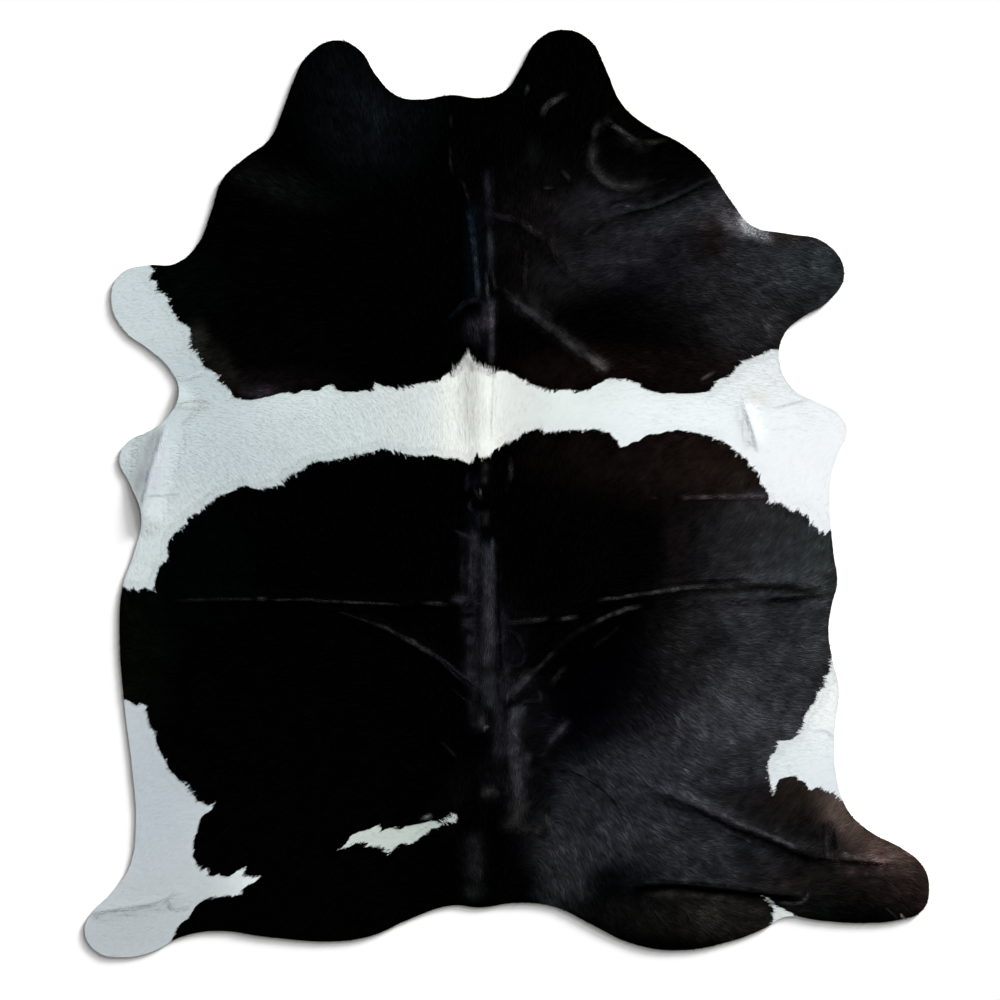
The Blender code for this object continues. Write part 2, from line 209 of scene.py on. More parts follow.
REAR_PATCH_LEFT = (
    124.6, 699, 129.2, 700.8, 133.8, 703.7, 138.5, 706, 139.6, 702.5, 144.2, 704.2, 147.7, 706, 146, 710,
    147.7, 716.9, 149.4, 725, 152.9, 730.2, 155.2, 734.2, 156, 740.4, 159.4, 748.5, 162.3, 755.4,
    165.8, 762.3, 169.8, 769.8, 171.5, 772.7, 176.2, 775.6, 179.6, 780.2, 184.2, 784.2, 188.8, 788.8,
    192.3, 794.6, 195.8, 796.9, 196.9, 801.5, 201.5, 801.5, 207.3, 805, 210.8, 805.6, 217.7, 799.2,
    213.1, 806.2, 210.2, 811.9, 206.2, 813.1, 201.5, 816.5, 199.2, 822.3, 196.9, 831.5, 194.6, 839.6,
    192.9, 840.2, 194, 848.8, 192.9, 858, 196.9, 861.5, 195.2, 864.4, 200.4, 866.7, 201.5, 871.3,
    207.3, 866.7, 208.5, 873, 209.6, 877.1, 214.2, 876, 217.7, 874.2, 223.5, 876.5, 230.4, 876, 235, 872.5,
    240.8, 868.5, 247, 866, 243.1, 875.4, 252.6, 876.8, 261.2, 876.8, 253.5, 882.9, 244.8, 887.2,
    240.5, 890.7, 244.8, 893.3, 232.7, 896.7, 225.8, 895.9, 218.8, 896.7, 208.5, 898.5, 201.5, 901,
    197.2, 904.5, 193.7, 908.8, 191.1, 914, 188.5, 919.2, 183.4, 921, 179, 925.3, 176.4, 930.5, 173.8, 936.5,
    171.2, 940.9,
)
WHITE_SLASH = (
    332.3, 851, 340.5, 847.9, 345.6, 844.4, 348.7, 838.2, 352.8, 834.1, 361, 831, 369.2, 829.5, 373.3, 826.4,
    380, 824.4, 381.5, 831, 386.7, 828.5, 391.8, 827.4, 400, 829.5, 405.1, 825.9, 415.4, 824.4, 422.6, 822.8,
    430.8, 820.8, 440, 819.7, 446.2, 816.7, 453.3, 810.5, 457.4, 814.1, 457.4, 817.7, 454.4, 823.3,
    448.2, 821.8, 444.1, 822.8, 440, 826.9, 432.8, 827.9, 429.7, 831, 424.6, 834.1, 416.4, 840.3,
    409.2, 844.9, 402.1, 842.8, 396.9, 845.9, 392.8, 850.5, 390.8, 854.6, 385.6, 853.6, 381.5, 848.5,
    377.4, 847.4, 370.3, 845.9, 366.2, 847.4, 365.1, 843.3, 359, 843.3, 352.8, 844.4, 348.7, 847.4,
    344.6, 848.5,
)
WHITE_WEDGE = (
    761.2, 890.1, 763.7, 894.6, 768.2, 897.2, 772, 899.7, 775.3, 904.2, 781, 907.4, 784.9, 908.5, 790, 911.3,
    795.1, 915.1, 800.3, 917.7, 800, 935, 773, 935, 773, 921.5, 774, 918.3, 772, 915.1, 774, 910, 772, 905.5,
    768.2, 901.7, 765, 898.5,
)
# The lower left and upper right corners of the boxes in which the tuft and its fan are rooted.
TUFT = ((456, 446), (497, 358))
TUFT_FAN = ((452, 384), (496, 350))
# Spots of painted glint, where bright locks stand for the hair's sparkle: middle, reach along and across,
# turn, and how many locks.
GLINTS = (
    (752, 228, 20, 9, -35, 420), (738, 220, 14, 9, -40, 160), (764, 235, 10, 5, -25, 120),
    (783, 236, 9, 3, -10, 40), (594, 361, 16, 5, -38, 140),
)
# Points off the rug that close the two black patches round its outside.
FRONT_CLOSING = (900, 345, 900, 0, 150, 0)
REAR_CLOSING_RIGHT = (900, 530, 900, 655)
REAR_CLOSING_FOOT = (980, 800, 980, 990, 171.2, 990)
REAR_CLOSING_LEFT = (60, 699, 60, 586)

# Places, and the way that the tips of the hair point there, in degrees: 0 is to the right of
# the picture, and 90 is to the neck.
LIES = (
    # neck
    (335, 80, 100), (400, 130, 95), (563, 70, 84), (520, 130, 88),
    # left shoulder, and the front patch to its foot
    (260, 190, 150), (330, 260, 165), (240, 300, 188), (168, 300, 198), (215, 372, 214), (300, 388, 232),
    (385, 384, 190),
    # spine, and its tuft
    (470, 200, 90), (480, 300, 90), (446, 380, 122), (474, 362, 92), (502, 376, 66), (474, 430, 91),
    # front patch, foot and right side
    (545, 388, 35), (620, 384, -20), (700, 392, -35), (765, 350, -38), (600, 280, 12), (650, 170, 25),
    # forelegs
    (730, 230, 0), (800, 270, -6), (832, 282, -18), (130, 300, 204),
    # white band and belly
    (140, 460, 205), (260, 430, 172), (390, 420, 120), (560, 410, 45), (690, 412, 8), (815, 430, 0),
    (800, 480, 60),
    # left flank
    (152, 545, 100), (136, 590, 103), (140, 640, 150), (132, 695, 255),
    # rear patch, head, from left to right
    (178, 530, 132), (245, 490, 116), (330, 462, 104), (400, 453, 96), (477, 455, 90), (530, 434, 72),
    (600, 431, 66), (690, 432, 62), (748, 462, 50), (776, 500, 64), (802, 512, 74), (826, 530, 72),
    # right flank
    (832, 570, 35), (828, 620, 10), (826, 675, -8), (812, 702, -18), (800, 730, -32), (777, 746, -62),
    (768, 772, -10),
    # right rump
    (720, 560, 20), (740, 620, 2), (690, 710, -35), (650, 760, -40), (580, 700, -50),
    # spine, from waist to tail
    (482, 570, 90), (484, 700, 88), (480, 840, 90),
    # left rump
    (330, 560, 150), (330, 700, 190), (330, 800, 212), (395, 838, 214), (300, 915, 232),
    # left thigh and hind leg
    (160, 750, 207), (196, 830, 214), (240, 872, 219), (195, 905, 222), (120, 930, 214), (155, 850, 225),
    # right thigh and hind leg
    (780, 782, 102), (800, 779, 88), (828, 791, 76), (850, 822, 55), (880, 862, 15), (905, 895, -25),
    (888, 911, -48), (800, 860, -5),
    # tail edge
    (700, 905, -15), (665, 938, -62), (570, 890, -70),
)

# On the black hair, the grey, blue and lilac tones, lighter towards the right, are painted sheen,
# and the brightest, at the glint, a painted highlight; the browns are the hair's own colour.
BLACK_TONES = tuple(Tone(*row) for row in (
    # neck, shoulder and foreleg, left, and the front patch's foot
    (372, 112, 34, 30, 60, 2.5, (11, 16, 19)), (336, 74, 18, 22, 60, 2, (7, 10, 12)),
    (275, 184, 30, 10, -20, 2, (13, 15, 14)), (180, 285, 30, 22, 0, 1.5, (2, 8, 6)),
    (275, 384, 50, 9, 0, 2, (12, 9, 10)),
    # chest and right foreleg
    (545, 220, 36, 34, 20, 1.5, (18, 15, 16)), (605, 203, 26, 12, 16, 5, (36, 36, 41)),
    (672, 228, 62, 15, 22, 8, (42, 43, 47)), (742, 286, 40, 44, 0, 5, (38, 38, 42)),
    (640, 258, 30, 16, 0, 2, (18, 15, 27)), (672, 366, 80, 14, 4, 4, (20, 12, 10)),
    (814, 268, 34, 24, -10, 7, (45, 52, 55)), (750, 330, 24, 16, 0, 11, (44, 44, 47)),
    (712, 237, 8, 10, 0, 14, (24, 14, 12)), (682, 240, 18, 10, 0, 8, (17, 16, 20)),
    # the glint at the right foreleg, a painted highlight
    (728, 217, 11, 7, -40, 12, (74, 70, 74)), (736, 224, 7, 5, -40, 20, (108, 103, 110)),
    (749, 225, 6, 4, -40, 70, (235, 240, 248)), (760, 233, 6, 3, -25, 50, (140, 142, 152)),
    (780, 236, 10, 4, -10, 18, (46, 34, 35)),
    # right shoulder and neck
    (655, 180, 34, 12, 12, 6, (3, 3, 4)), (608, 197, 14, 6, 0, 6, (40, 38, 44)),
    (533, 152, 5, 8, 0, 1, (14, 20, 17)),
    # front patch, lower left edge
    (197, 340, 5, 9, 0, 4, (38, 40, 36)), (212, 358, 12, 8, -45, 2.5, (22, 22, 18)),
    (226, 379, 9, 6, -40, 3, (30, 28, 22)), (262, 391, 10, 4, 0, 3, (46, 41, 47)),
    # rear patch, right head and flank
    (704, 458, 46, 22, 0, 5, (27, 18, 15)), (610, 456, 46, 20, 0, 2.5, (13, 9, 8)),
    (762, 524, 26, 15, 0, 6, (36, 35, 37)), (808, 558, 26, 42, 0, 8, (42, 47, 48)),
    (778, 640, 42, 62, 0, 9, (47, 48, 53)), (822, 650, 12, 26, 0, 8, (52, 56, 55)),
    # right rump
    (728, 720, 38, 32, 0, 9, (70, 71, 79)), (652, 716, 22, 20, 0, 6, (14, 13, 16)),
    (698, 662, 18, 24, 0, 16, (25, 25, 26)), (748, 606, 16, 10, 0, 14, (52, 52, 56)),
    (670, 728, 9, 8, 0, 10, (19, 18, 20)), (742, 762, 15, 11, 0, 14, (27, 27, 29)),
    # right of the spine, and tail
    (512, 642, 9, 26, 0, 2.5, (12, 11, 14)), (538, 718, 14, 22, 0, 1.5, (18, 17, 20)),
    (537, 791, 9, 17, 0, 18, (7, 7, 8)), (500, 856, 17, 25, 0, 50, (1, 1, 2)),
    (486, 816, 8, 14, 0, 18, (2, 2, 3)),
    # waist, chest and right forefoot
    (725, 583, 26, 8, 8, 5, (12, 11, 12)), (684, 332, 28, 20, 0, 6, 3),
    (834, 274, 9, 14, 0, 8, (44, 50, 52)), (790, 302, 12, 8, 0, 6, (22, 21, 22)),
    # right rump and thigh; the first is painted light on the slope beside the thigh's crease
    (712, 810, 26, 6, -28, 8, (48, 48, 53)), (700, 762, 40, 20, 0, 6, (50, 53, 62)),
    (650, 764, 46, 22, 20, 7, (44, 45, 52)), (640, 826, 66, 28, -6, 7, (43, 45, 52)),
    (748, 806, 24, 13, -20, 8, (15, 14, 15)), (596, 706, 44, 26, 30, 6, (2, 2, 5)),
    (694, 852, 46, 18, -8, 5, (42, 43, 47)),
    # right hind leg
    (880, 842, 42, 13, -38, 22, (77, 62, 58)), (836, 806, 14, 9, -40, 18, (88, 76, 71)),
    (802, 832, 26, 11, -14, 18, (18, 17, 17)), (798, 797, 20, 13, 0, 16, (25, 20, 16)),
    (850, 880, 40, 12, 0, 16, (32, 27, 27)), (888, 888, 12, 7, 0, 14, (42, 31, 28)),
    (912, 880, 13, 13, 0, 26, (29, 21, 18)),
    # tail edge
    (556, 858, 24, 15, -20, 7, (48, 49, 52)), (617, 879, 20, 9, 0, 8, (3, 4, 6)),
    (726, 912, 30, 13, 0, 4, (38, 35, 30)), (655, 914, 40, 12, 0, 2, (17, 17, 16)),
    # left flank, left waist and tail
    (138, 645, 20, 50, 0, 1.5, (7, 11, 7)), (205, 560, 40, 50, 0, 1, (2, 7, 6)),
    (482, 866, 10, 30, 0, 1.5, (14, 16, 16)),
    # right of the waist, and flank
    (756, 507, 14, 8, 0, 6, (50, 48, 52)), (741, 516, 8, 9, 0, 8, (24, 23, 24)),
    (735, 482, 14, 10, 0, 4, (30, 25, 20)), (822, 560, 8, 26, 0, 6, (46, 54, 51)),
    (740, 560, 11, 14, 0, 4, (33, 30, 30)), (680, 552, 8, 22, 0, 2.5, (22, 16, 17)),
    # right hind leg and thigh, small
    (862, 893, 26, 10, 0, 10, (6, 6, 5)), (823, 893, 10, 11, 0, 10, (5, 9, 8)),
    (800, 873, 4.5, 4.5, 0, 8, 8), (744, 855, 7, 6, 0, 8, 12), (896, 857, 13, 7, -10, 34, (106, 84, 80)),
    (911, 862, 5, 4, -20, 8, (62, 43, 26)), (908, 892, 12, 6, -30, 8, (30, 23, 18)),
    # tail edge, small
    (541, 720, 7, 10, 0, 2.5, (22, 20, 26)), (552, 855, 8, 6, 0, 5, (41, 39, 44)),
    (560, 879, 15, 14, 0, 5, (38, 44, 45)),
))
WHITE_TONES = tuple(Tone(*row) for row in (
    # left foreleg and band
    (136, 298, 36, 30, 0, 5, (189, 202, 205)), (192, 375, 34, 34, 0, 5, (178, 191, 194)),
    (222, 442, 60, 36, 0, 5, (189, 202, 206)), (330, 425, 46, 26, 0, 4, (206, 219, 219)),
    (402, 420, 26, 30, 0, 4, (214, 223, 221)),
    # tuft, band and belly, right
    (476, 408, 22, 46, 0, 7, (246, 250, 242)), (570, 408, 44, 20, 0, 3, (224, 232, 229)),
    (520, 410, 14, 34, 0, 8, (217, 221, 219)), (690, 414, 56, 20, 0, 4, (240, 248, 251)),
    (758, 386, 18, 16, 0, 2, (234, 239, 238)), (806, 450, 46, 50, 0, 8, (241, 245, 248)),
    # left side; the first is painted shade on the belly flap, which slopes away from the light
    (134, 458, 14, 22, 14, 5, (187, 198, 202)), (150, 548, 22, 40, 0, 4, (207, 219, 221)),
    (152, 798, 34, 76, 0, 8, (172, 181, 187)), (176, 895, 26, 18, 0, 6, (178, 184, 186)),
    (128, 930, 44, 20, 16, 8, (169, 176, 180)),
    # right side, and the slash
    (824, 708, 14, 34, 0, 8, (246, 252, 254)), (800, 758, 20, 18, 0, 5, (224, 230, 232)),
    (828, 772, 14, 16, 0, 8, (220, 227, 233)), (392, 836, 60, 14, 30, 8, (182, 193, 187)),
))
# On the black hair, the light streaks along the creases are painted sheen on their crests,
# and the darkest streaks are painted shade in their grooves.
BLACK_LINES = tuple(Line(*row) for row in (
    # waist, left
    (1.3, 0.95, 19, (170, 600, 208, 599, 235, 598.7, 258, 599)),
    (1.8, 0.95, 40, (256, 599, 261, 598.5, 267, 598.3)),
    (1.1, 0.95, (26, 26, 27), (264, 599, 300, 599, 320, 600.2, 345, 601.5, 375, 602.4, 405, 604)),
    (2.1, 0.95, (21, 21, 22), (420, 602.5, 436, 603.5, 450, 605)),
    # rump, left
    (1.2, 0.95, 28, (335, 611.5, 343, 612, 356, 616.5, 374, 622.5)),
    (1.8, 0.92, 20, (368, 621, 388, 628.5, 402, 636)),
    (2.6, 0.95, (27, 27, 28), (396, 633, 406, 638, 420, 646.5, 437, 656.5)),
    (1.3, 0.9, (24, 23, 26), (430, 652, 447, 662, 463, 676, 482, 687)),
    (1.3, 0.9, (28, 27, 30), (430, 654.5, 441, 661, 450, 670, 458, 677, 465, 683, 483, 692)),
    (0.8, 0.8, (3, 3, 5), (462, 678, 472, 684, 482, 689)),
    (1.3, 0.8, (20, 19, 23), (449, 687, 456, 692, 463, 697, 480, 707)),
    (1.6, 0.8, 18, (436, 739, 446, 746, 457, 758)),
    # rump, right
    (3.6, 0.97, (50, 48, 53), (503, 698, 511, 690, 523, 680, 536, 669)),
    (1.6, 0.8, (52, 52, 50), (511, 695, 517, 690, 522, 685)),
    (2.2, 0.95, 31, (528, 677, 540, 665, 548, 656.5, 558, 646.5)),
    (2.9, 0.9, 13, (554, 650, 566, 639, 578, 630.5, 594, 624)),
    (2.1, 0.97, (38, 38, 39), (588, 626.5, 604, 617, 614, 612.7, 626, 608.8, 642, 605)),
    (2.7, 0.95, 21, (568, 662, 560, 671, 555, 678, 548, 687)),
    (1.5, 0.7, 26, (537, 688, 541, 695, 538, 703)),
    (1.5, 0.8, 32, (511, 710, 519, 704, 526, 700.5, 539, 700)),
    (3.2, 0.97, (44, 42, 48), (570, 718, 560, 729, 549, 743, 545, 751)),
    (1.5, 0.6, (24, 23, 27), (547, 751, 541, 755, 535, 758)),
    (1.8, 0.75, (22, 20, 28), (502, 627, 513, 632, 520, 640, 524, 650, 523, 660, 518, 665, 506, 667)),
    (1.8, 0.6, 22, (589, 650, 600, 641, 608, 635, 621, 623)),
    # waist, middle
    (2.6, 0.97, 38, (505, 622.5, 524, 620.8, 536, 620, 551, 618)),
    (2, 0.97, 36, (552, 620, 566, 618, 580, 616)),
    # waist, right
    (1.6, 0.97, 56, (595, 601, 606, 598.3, 620, 597, 646, 593)),
    (1.9, 0.97, 56, (634, 595, 660, 591, 680, 588, 710, 585)),
    (2.1, 0.95, (46, 44, 44), (698, 587, 720, 586, 754, 585.5)),
    (2.2, 0.6, (50, 49, 49), (742, 583.5, 770, 583, 790, 583, 810, 585.5)),
    (1.5, 0.88, 6, (634, 588.5, 680, 582.5, 720, 580, 750, 579)),
    (2, 0.88, 13, (734, 588.5, 752, 587.5, 770, 587.5, 795, 589.5, 811, 590)),
    (1.2, 0.85, (14, 22, 18), (804, 590, 815, 587.5, 831, 583)),
    (1.2, 0.7, 36, (669, 610, 680, 606, 691, 603)),
    (2.2, 0.95, 7, (762, 600.5, 790, 598, 800, 597, 826, 595.5)),
    # right shoulder
    (2.6, 0.75, (5, 5, 6), (632, 204, 668, 192.5, 702, 176)),
    (1.5, 0.9, (27, 29, 26), (616, 214, 640, 208.4, 652, 204.8, 672, 197, 698, 184, 715, 176.8)),
    (1.3, 0.95, (2, 3, 5), (611, 218, 626, 213.5, 640, 211, 656, 207, 684, 195, 698, 188, 716, 180)),
    (1.3, 0.9, (4, 4, 8), (606, 207, 614, 202.7, 622, 200.5, 634, 198.5)),
    (1.6, 0.8, (48, 46, 54), (607, 208, 618, 204.5, 626, 205.2, 634, 209)),
    (3.2, 0.9, 30, (594, 141, 595, 131, 598, 125, 603, 121, 611, 119)),
    (4.5, 0.8, 22, (612, 131, 636, 146, 654, 147)),
    (2.9, 0.97, 54, (603, 119, 611.5, 125, 618.5, 130, 626.5, 136, 635, 141.5, 645, 144.5)),
    (2.4, 0.85, (34, 34, 25), (638, 141, 650, 142.3, 658, 141, 669, 138)),
    (4.6, 0.92, 38, (591.5, 138, 591, 150, 590, 158, 589.5, 166, 594, 171, 602, 178)),
    (4.4, 0.92, (32, 32, 33), (594, 170, 603, 179, 611, 184, 620, 187, 632, 187.5, 648, 184)),
    (1.8, 0.6, 20, (642, 186, 655, 182, 667, 177)),
    # neck and chest
    (2.9, 0.95, 40, (540, 120, 544, 109, 549, 103.5, 555, 99.5, 561, 95.5, 570, 91)),
    (1.8, 0.85, (28, 36, 34), (528, 84, 526, 90, 524.5, 95)),
    (1.6, 0.9, 40, (578, 239, 585, 233, 590, 229, 600, 224.5)),
    (2, 0.8, 38, (561, 170, 566, 176, 570, 183)),
    (1.2, 0.8, 40, (542, 188, 547, 187.6, 553, 187)),
    (2.2, 0.75, (36, 30, 31), (525, 244, 526, 262, 525, 272, 524, 292)),
    (2.9, 0.75, (30, 26, 30), (488, 213, 504, 217, 514, 220, 522, 224, 532, 230, 542, 238)),
    (2.9, 0.6, (26, 20, 21), (548, 235, 553, 246, 557, 256, 565, 269)),
    (2, 0.7, 26, (499, 289, 508, 293, 515, 298)),
    (5, 0.6, 28, (527, 301, 540, 309, 552, 319)),
    (3.8, 0.97, (48, 46, 49), (506, 295.5, 517, 302.5, 523, 307.5, 531, 312.5, 544, 323.5)),
    (4.6, 0.92, (41, 40, 41), (535.5, 317, 547.5, 326, 563.5, 338, 579.5, 351, 591.5, 361)),
    (4, 0.93, (96, 90, 92), (586, 354, 595, 361, 609, 371)),
    (1.6, 0.7, (86, 80, 80), (700, 380, 716, 370)),
    # waist break
    (2.2, 0.95, (52, 48, 52), (676, 497.5, 700, 496.5, 730, 496, 752, 495.3)),
    (2.4, 0.92, (60, 55, 62), (742, 496, 755, 495.5, 769, 495)),
    (1.2, 0.7, (36, 32, 34), (650, 497, 658, 497)),
    # spine, neck and chest
    (1.4, 0.85, (24, 23, 24), (450, 113, 450.5, 121, 451, 130)),
    (1.6, 0.85, (19, 18, 19), (448, 139, 450, 160, 452, 178)),
    (1.4, 0.85, (18, 17, 18), (455, 176, 463, 183, 466, 193, 470, 209)),
    (3.4, 0.92, (29, 26, 36), (486, 166, 487, 190, 488, 206, 489, 228)),
    (3, 0.92, (38, 40, 42), (489, 222, 490, 250, 491, 278)),
    (1.5, 0.8, (40, 38, 46), (485, 268, 487, 288, 490, 306)),
    (1.5, 0.8, (40, 38, 46), (492, 270, 493, 280, 495, 292)),
    (3, 0.9, (44, 42, 49), (491, 294, 491, 330, 491, 366)),
    (4, 0.7, (30, 28, 34), (484, 294, 485, 315, 484, 336)),
    (7, 0.8, (4, 11, 17), (471, 202, 472, 250, 473, 306)),
    (2.6, 0.88, (27, 35, 41), (467, 206, 471, 228, 474, 250, 476, 275, 478, 304)),
    (2.4, 0.8, (25, 32, 36), (455, 312, 463, 304, 472, 300.5, 483, 299)),
    (1.8, 0.6, (6, 14, 20), (447, 319, 453, 313, 459, 308)),
    (8, 0.85, (32, 30, 38), (474, 312, 473, 330, 473, 348)),
    (2.5, 0.7, (14, 12, 20), (484, 326, 485, 340, 485, 354)),
    # spine, waist
    (2.4, 0.85, (32, 31, 32), (509, 454, 510, 468, 510, 484)),
    (2.5, 0.6, 12, (507, 477, 506, 494)),
    (3.6, 0.85, 26, (484, 459, 484, 472, 483, 486)),
    (2.6, 0.85, (27, 25, 31), (472, 468, 467, 478, 467, 493)),
    (4, 0.7, (15, 14, 20), (475, 471, 475, 489)),
    (1.3, 0.95, (66, 64, 66), (479.5, 488, 479.5, 496)),
    (1.8, 0.8, (26, 24, 30), (472, 487, 477, 494, 482, 500)),
    (1.8, 0.85, (29, 27, 33), (475, 498.5, 469, 502, 469, 507, 474, 512.5)),
    (6, 0.7, (8, 16, 20), (472, 508, 472, 531)),
    (2, 0.8, (22, 30, 34), (478, 510, 477, 530)),
    (4, 0.75, (22, 21, 21), (485, 508, 484, 526)),
    (1.8, 0.85, (33, 31, 38), (453, 530, 463, 534, 475, 540)),
    (5, 0.92, (34, 32, 38), (473, 522, 473, 550, 472, 580, 472, 622)),
    (6.6, 0.9, (27, 26, 31), (470, 604, 471, 640, 471, 690)),
    (5, 0.85, (18, 17, 21), (472, 676, 472, 700, 473, 738)),
    (4, 0.6, (18, 17, 21), (463, 530, 463, 580, 464, 640)),
    (1.3, 0.8, (44, 42, 48), (470.5, 545, 471, 575, 474, 605)),
    (1.8, 0.8, (36, 38, 40), (492, 535, 492, 551)),
    (6.5, 0.92, (32, 36, 40), (488, 538, 488, 560, 488, 584)),
    (7.6, 0.93, (33, 32, 36), (488, 566, 488, 620, 488, 672)),
    (4, 0.8, (21, 20, 25), (500, 600, 501, 640, 501, 672)),
    (1.2, 0.95, (2, 2, 5), (497.5, 553, 498.5, 610, 500, 650, 500, 675)),
    (1.6, 0.85, (4, 3, 8), (459, 605.5, 476, 605.5)),
    (2.2, 0.85, (4, 3, 8), (459, 614.5, 476, 614)),
    (2.2, 0.8, (6, 5, 12), (461, 630, 474, 632)),
    (1.4, 0.8, (34, 32, 38), (460, 624.5, 482, 624)),
    (3, 0.85, (38, 36, 42), (449, 600, 460, 599, 473, 599)),
    # spine, rump
    (8, 0.9, (28, 32, 34), (489, 666, 489, 686, 490, 712)),
    (6, 0.85, (22, 21, 25), (499, 676, 499, 710, 499, 766)),
    (3.4, 0.7, (30, 29, 33), (507, 668, 510, 688, 514, 706)),
    (3, 0.7, (34, 32, 37), (501, 668, 502, 684, 502, 700)),
    (1.5, 0.9, (46, 50, 50), (508, 686, 507, 696, 506, 706)),
    (3.2, 0.8, (30, 28, 32), (505, 660, 507, 677, 506, 694)),
    (4, 0.85, (31, 29, 33), (480, 702, 481, 718, 480, 734)),
    (1.8, 0.95, (66, 64, 66), (482, 727.2, 487, 726.3)),
    (6.5, 0.93, (52, 56, 58), (517, 703, 517, 712, 516, 723)),
    (6.5, 0.92, (43, 41, 47), (515, 714, 514, 735, 515, 755)),
    (1.6, 0.85, (58, 56, 62), (512, 729, 517, 737, 521, 743)),
    (5.5, 0.94, (54, 52, 59), (513, 742, 515, 757, 519, 770)),
    (4, 0.8, (40, 38, 43), (517, 757, 533, 760.5)),
    (3, 0.6, (32, 31, 35), (526, 766, 527, 784)),
    (7, 0.93, (46, 45, 51), (516, 758, 518, 780, 520, 804)),
    (7.5, 0.88, 36, (519, 792, 519, 812, 508, 828)),
    (4, 0.88, 34, (496, 825, 515, 824, 530, 829, 549, 834)),
    (3, 0.85, (46, 45, 48), (548, 811, 548, 828)),
    (5, 0.75, 26, (477, 792, 500, 792)),
    (8, 0.88, (30, 30, 33), (473, 828, 474, 850, 474, 884)),
    (9, 0.8, (24, 30, 27), (473, 880, 473, 900)),
    (1, 0.9, (12, 12, 17), (541, 768.5, 562, 770, 577, 774, 598, 786, 610, 797, 623, 814)),
    # right thigh and tail edge
    (1, 0.8, (20, 21, 24), (631, 781, 650, 788, 672, 797, 706, 813)),
    (2.1, 0.97, (4, 4, 6), (692, 806, 710, 816, 722, 822.5, 741, 832)),
    (1.9, 0.97, (3, 3, 5), (722, 822.5, 750, 834, 775, 843.5, 800, 854.5, 824, 861.5)),
    (2.2, 0.97, (4, 2, 3), (806, 858, 835, 859.8, 850, 860.8, 870, 862.8, 892, 865.5)),
    (1.8, 0.85, (50, 49, 53), (700, 806, 722, 815, 745, 825.5, 775, 837, 800, 848)),
    (1.2, 0.8, (56, 56, 59), (720, 827, 735, 834, 752, 841)),
    (2.6, 0.95, (7, 6, 6), (831, 824, 833, 838, 834, 850, 834, 862)),
    (2, 0.5, (42, 42, 43), (825, 828, 825.5, 843, 826, 856)),
    (2.2, 0.85, (62, 57, 55), (838, 853, 850, 855, 866, 858)),
    (3.4, 0.92, (74, 64, 62), (832, 868.5, 855, 870.5, 880, 872)),
    (3, 0.85, (42, 39, 34), (640, 893.5, 672, 892.5, 705, 895.5, 732, 898)),
    (3, 0.97, 1, (630, 888.5, 655, 886.3, 672, 885.3, 705, 888, 722, 890, 740, 892, 760, 894.5, 775, 897,
        802, 898)),
    (1, 0.85, (8, 9, 8), (630, 880.5, 660, 879.5, 700, 882, 720, 884, 742, 886.5, 766, 890)),
    (1.5, 0.95, 56, (773, 901.3, 790, 902.8, 801, 901.8, 805.5, 898, 808, 894, 806, 887)),
    (0.8, 0.7, (70, 68, 76), (884, 907, 892, 913, 897, 920)),
    (0.9, 0.9, (200, 203, 203), (899.5, 913, 902, 916, 904, 919)),
    (2, 0.85, (104, 106, 106), (420, 818, 431, 814)),
))
WHITE_LINES = tuple(Line(*row) for row in (
    # left belly flap: painted shade on the flap beside its fold, a painted highlight on the fold's lit side,
    # and painted shade in a short crease below
    (1.9, 0.95, (134, 144, 152), (163, 424, 160.5, 431, 158.5, 440, 156, 450, 152.5, 459, 149.5, 467,
        147.5, 475, 146.5, 483, 145, 491, 142.5, 498, 140.5, 506, 139, 520)),
    (5, 0.7, (165, 172, 176), (160, 424, 157, 432, 152, 445, 147, 458, 142, 470, 140, 482, 138, 500)),
    (1.8, 0.85, (222, 228, 236), (170, 420, 166, 430, 163, 441, 160, 452, 155, 466, 152, 479, 149, 492,
        145, 510)),
    (4, 0.6, (216, 218, 228), (162, 446, 158, 462, 156, 478, 156, 494)),
    (1.2, 0.85, (158, 166, 170), (144, 496, 160, 495, 175, 494.5, 182, 494)),
    # left armpit: painted shade in its pressed lines, with a painted highlight beside the upper one
    (1.1, 0.9, (166, 175, 184), (176, 381, 182, 380, 191, 378.2, 202, 374, 207, 371)),
    (1.1, 0.8, (220, 226, 232), (174, 378, 178, 377, 190, 375.5, 207, 368)),
    (1, 0.92, (146, 152, 147), (176, 404, 181, 403, 190, 401, 203, 401, 210, 402)),
    (1, 0.5, (168, 176, 172), (178, 407, 190, 407.5, 210, 408)),
    (6, 0.45, (184, 192, 188), (176, 408, 196, 407, 214, 406)),
    (1.5, 0.8, (160, 168, 166), (194, 406, 191, 414, 187, 420, 179, 428)),
    # left hind leg: painted shade in its creases
    (1.2, 0.85, (146, 155, 159), (92, 914, 116, 909, 144, 905, 164, 899, 184, 890)),
    (0.8, 0.8, (142, 150, 152), (176, 888, 168, 897, 160, 905)),
    (1, 0.6, (160, 167, 169), (168, 899, 173, 908, 190, 907)),
    # right side: painted shade along the folds
    (1, 0.85, (202, 209, 211), (741, 396, 744, 410, 750, 428, 757, 452)),
    (1, 0.9, (186, 194, 196), (772, 408, 788, 404, 806, 399)),
    (6, 0.55, (222, 225, 218), (742, 394, 757, 396, 776, 402)),
    (1, 0.75, (212, 216, 222), (814, 730, 825, 731, 834, 737)),
    # spine tuft
    (0.6, 0.75, (172, 180, 172), (464, 364, 466, 382, 470, 400)),
    (0.6, 0.65, (180, 187, 180), (470, 362, 468, 384, 466, 404, 468, 428)),
    (0.6, 0.65, (184, 191, 184), (474, 366, 476, 388, 473, 412, 475, 440)),
    (0.6, 0.6, (184, 190, 184), (484, 408, 480, 418, 477, 434)),
    (0.8, 0.75, (172, 181, 172), (494, 368, 492, 400, 491, 424, 491, 440)),
))


# -------------------- plain geometry


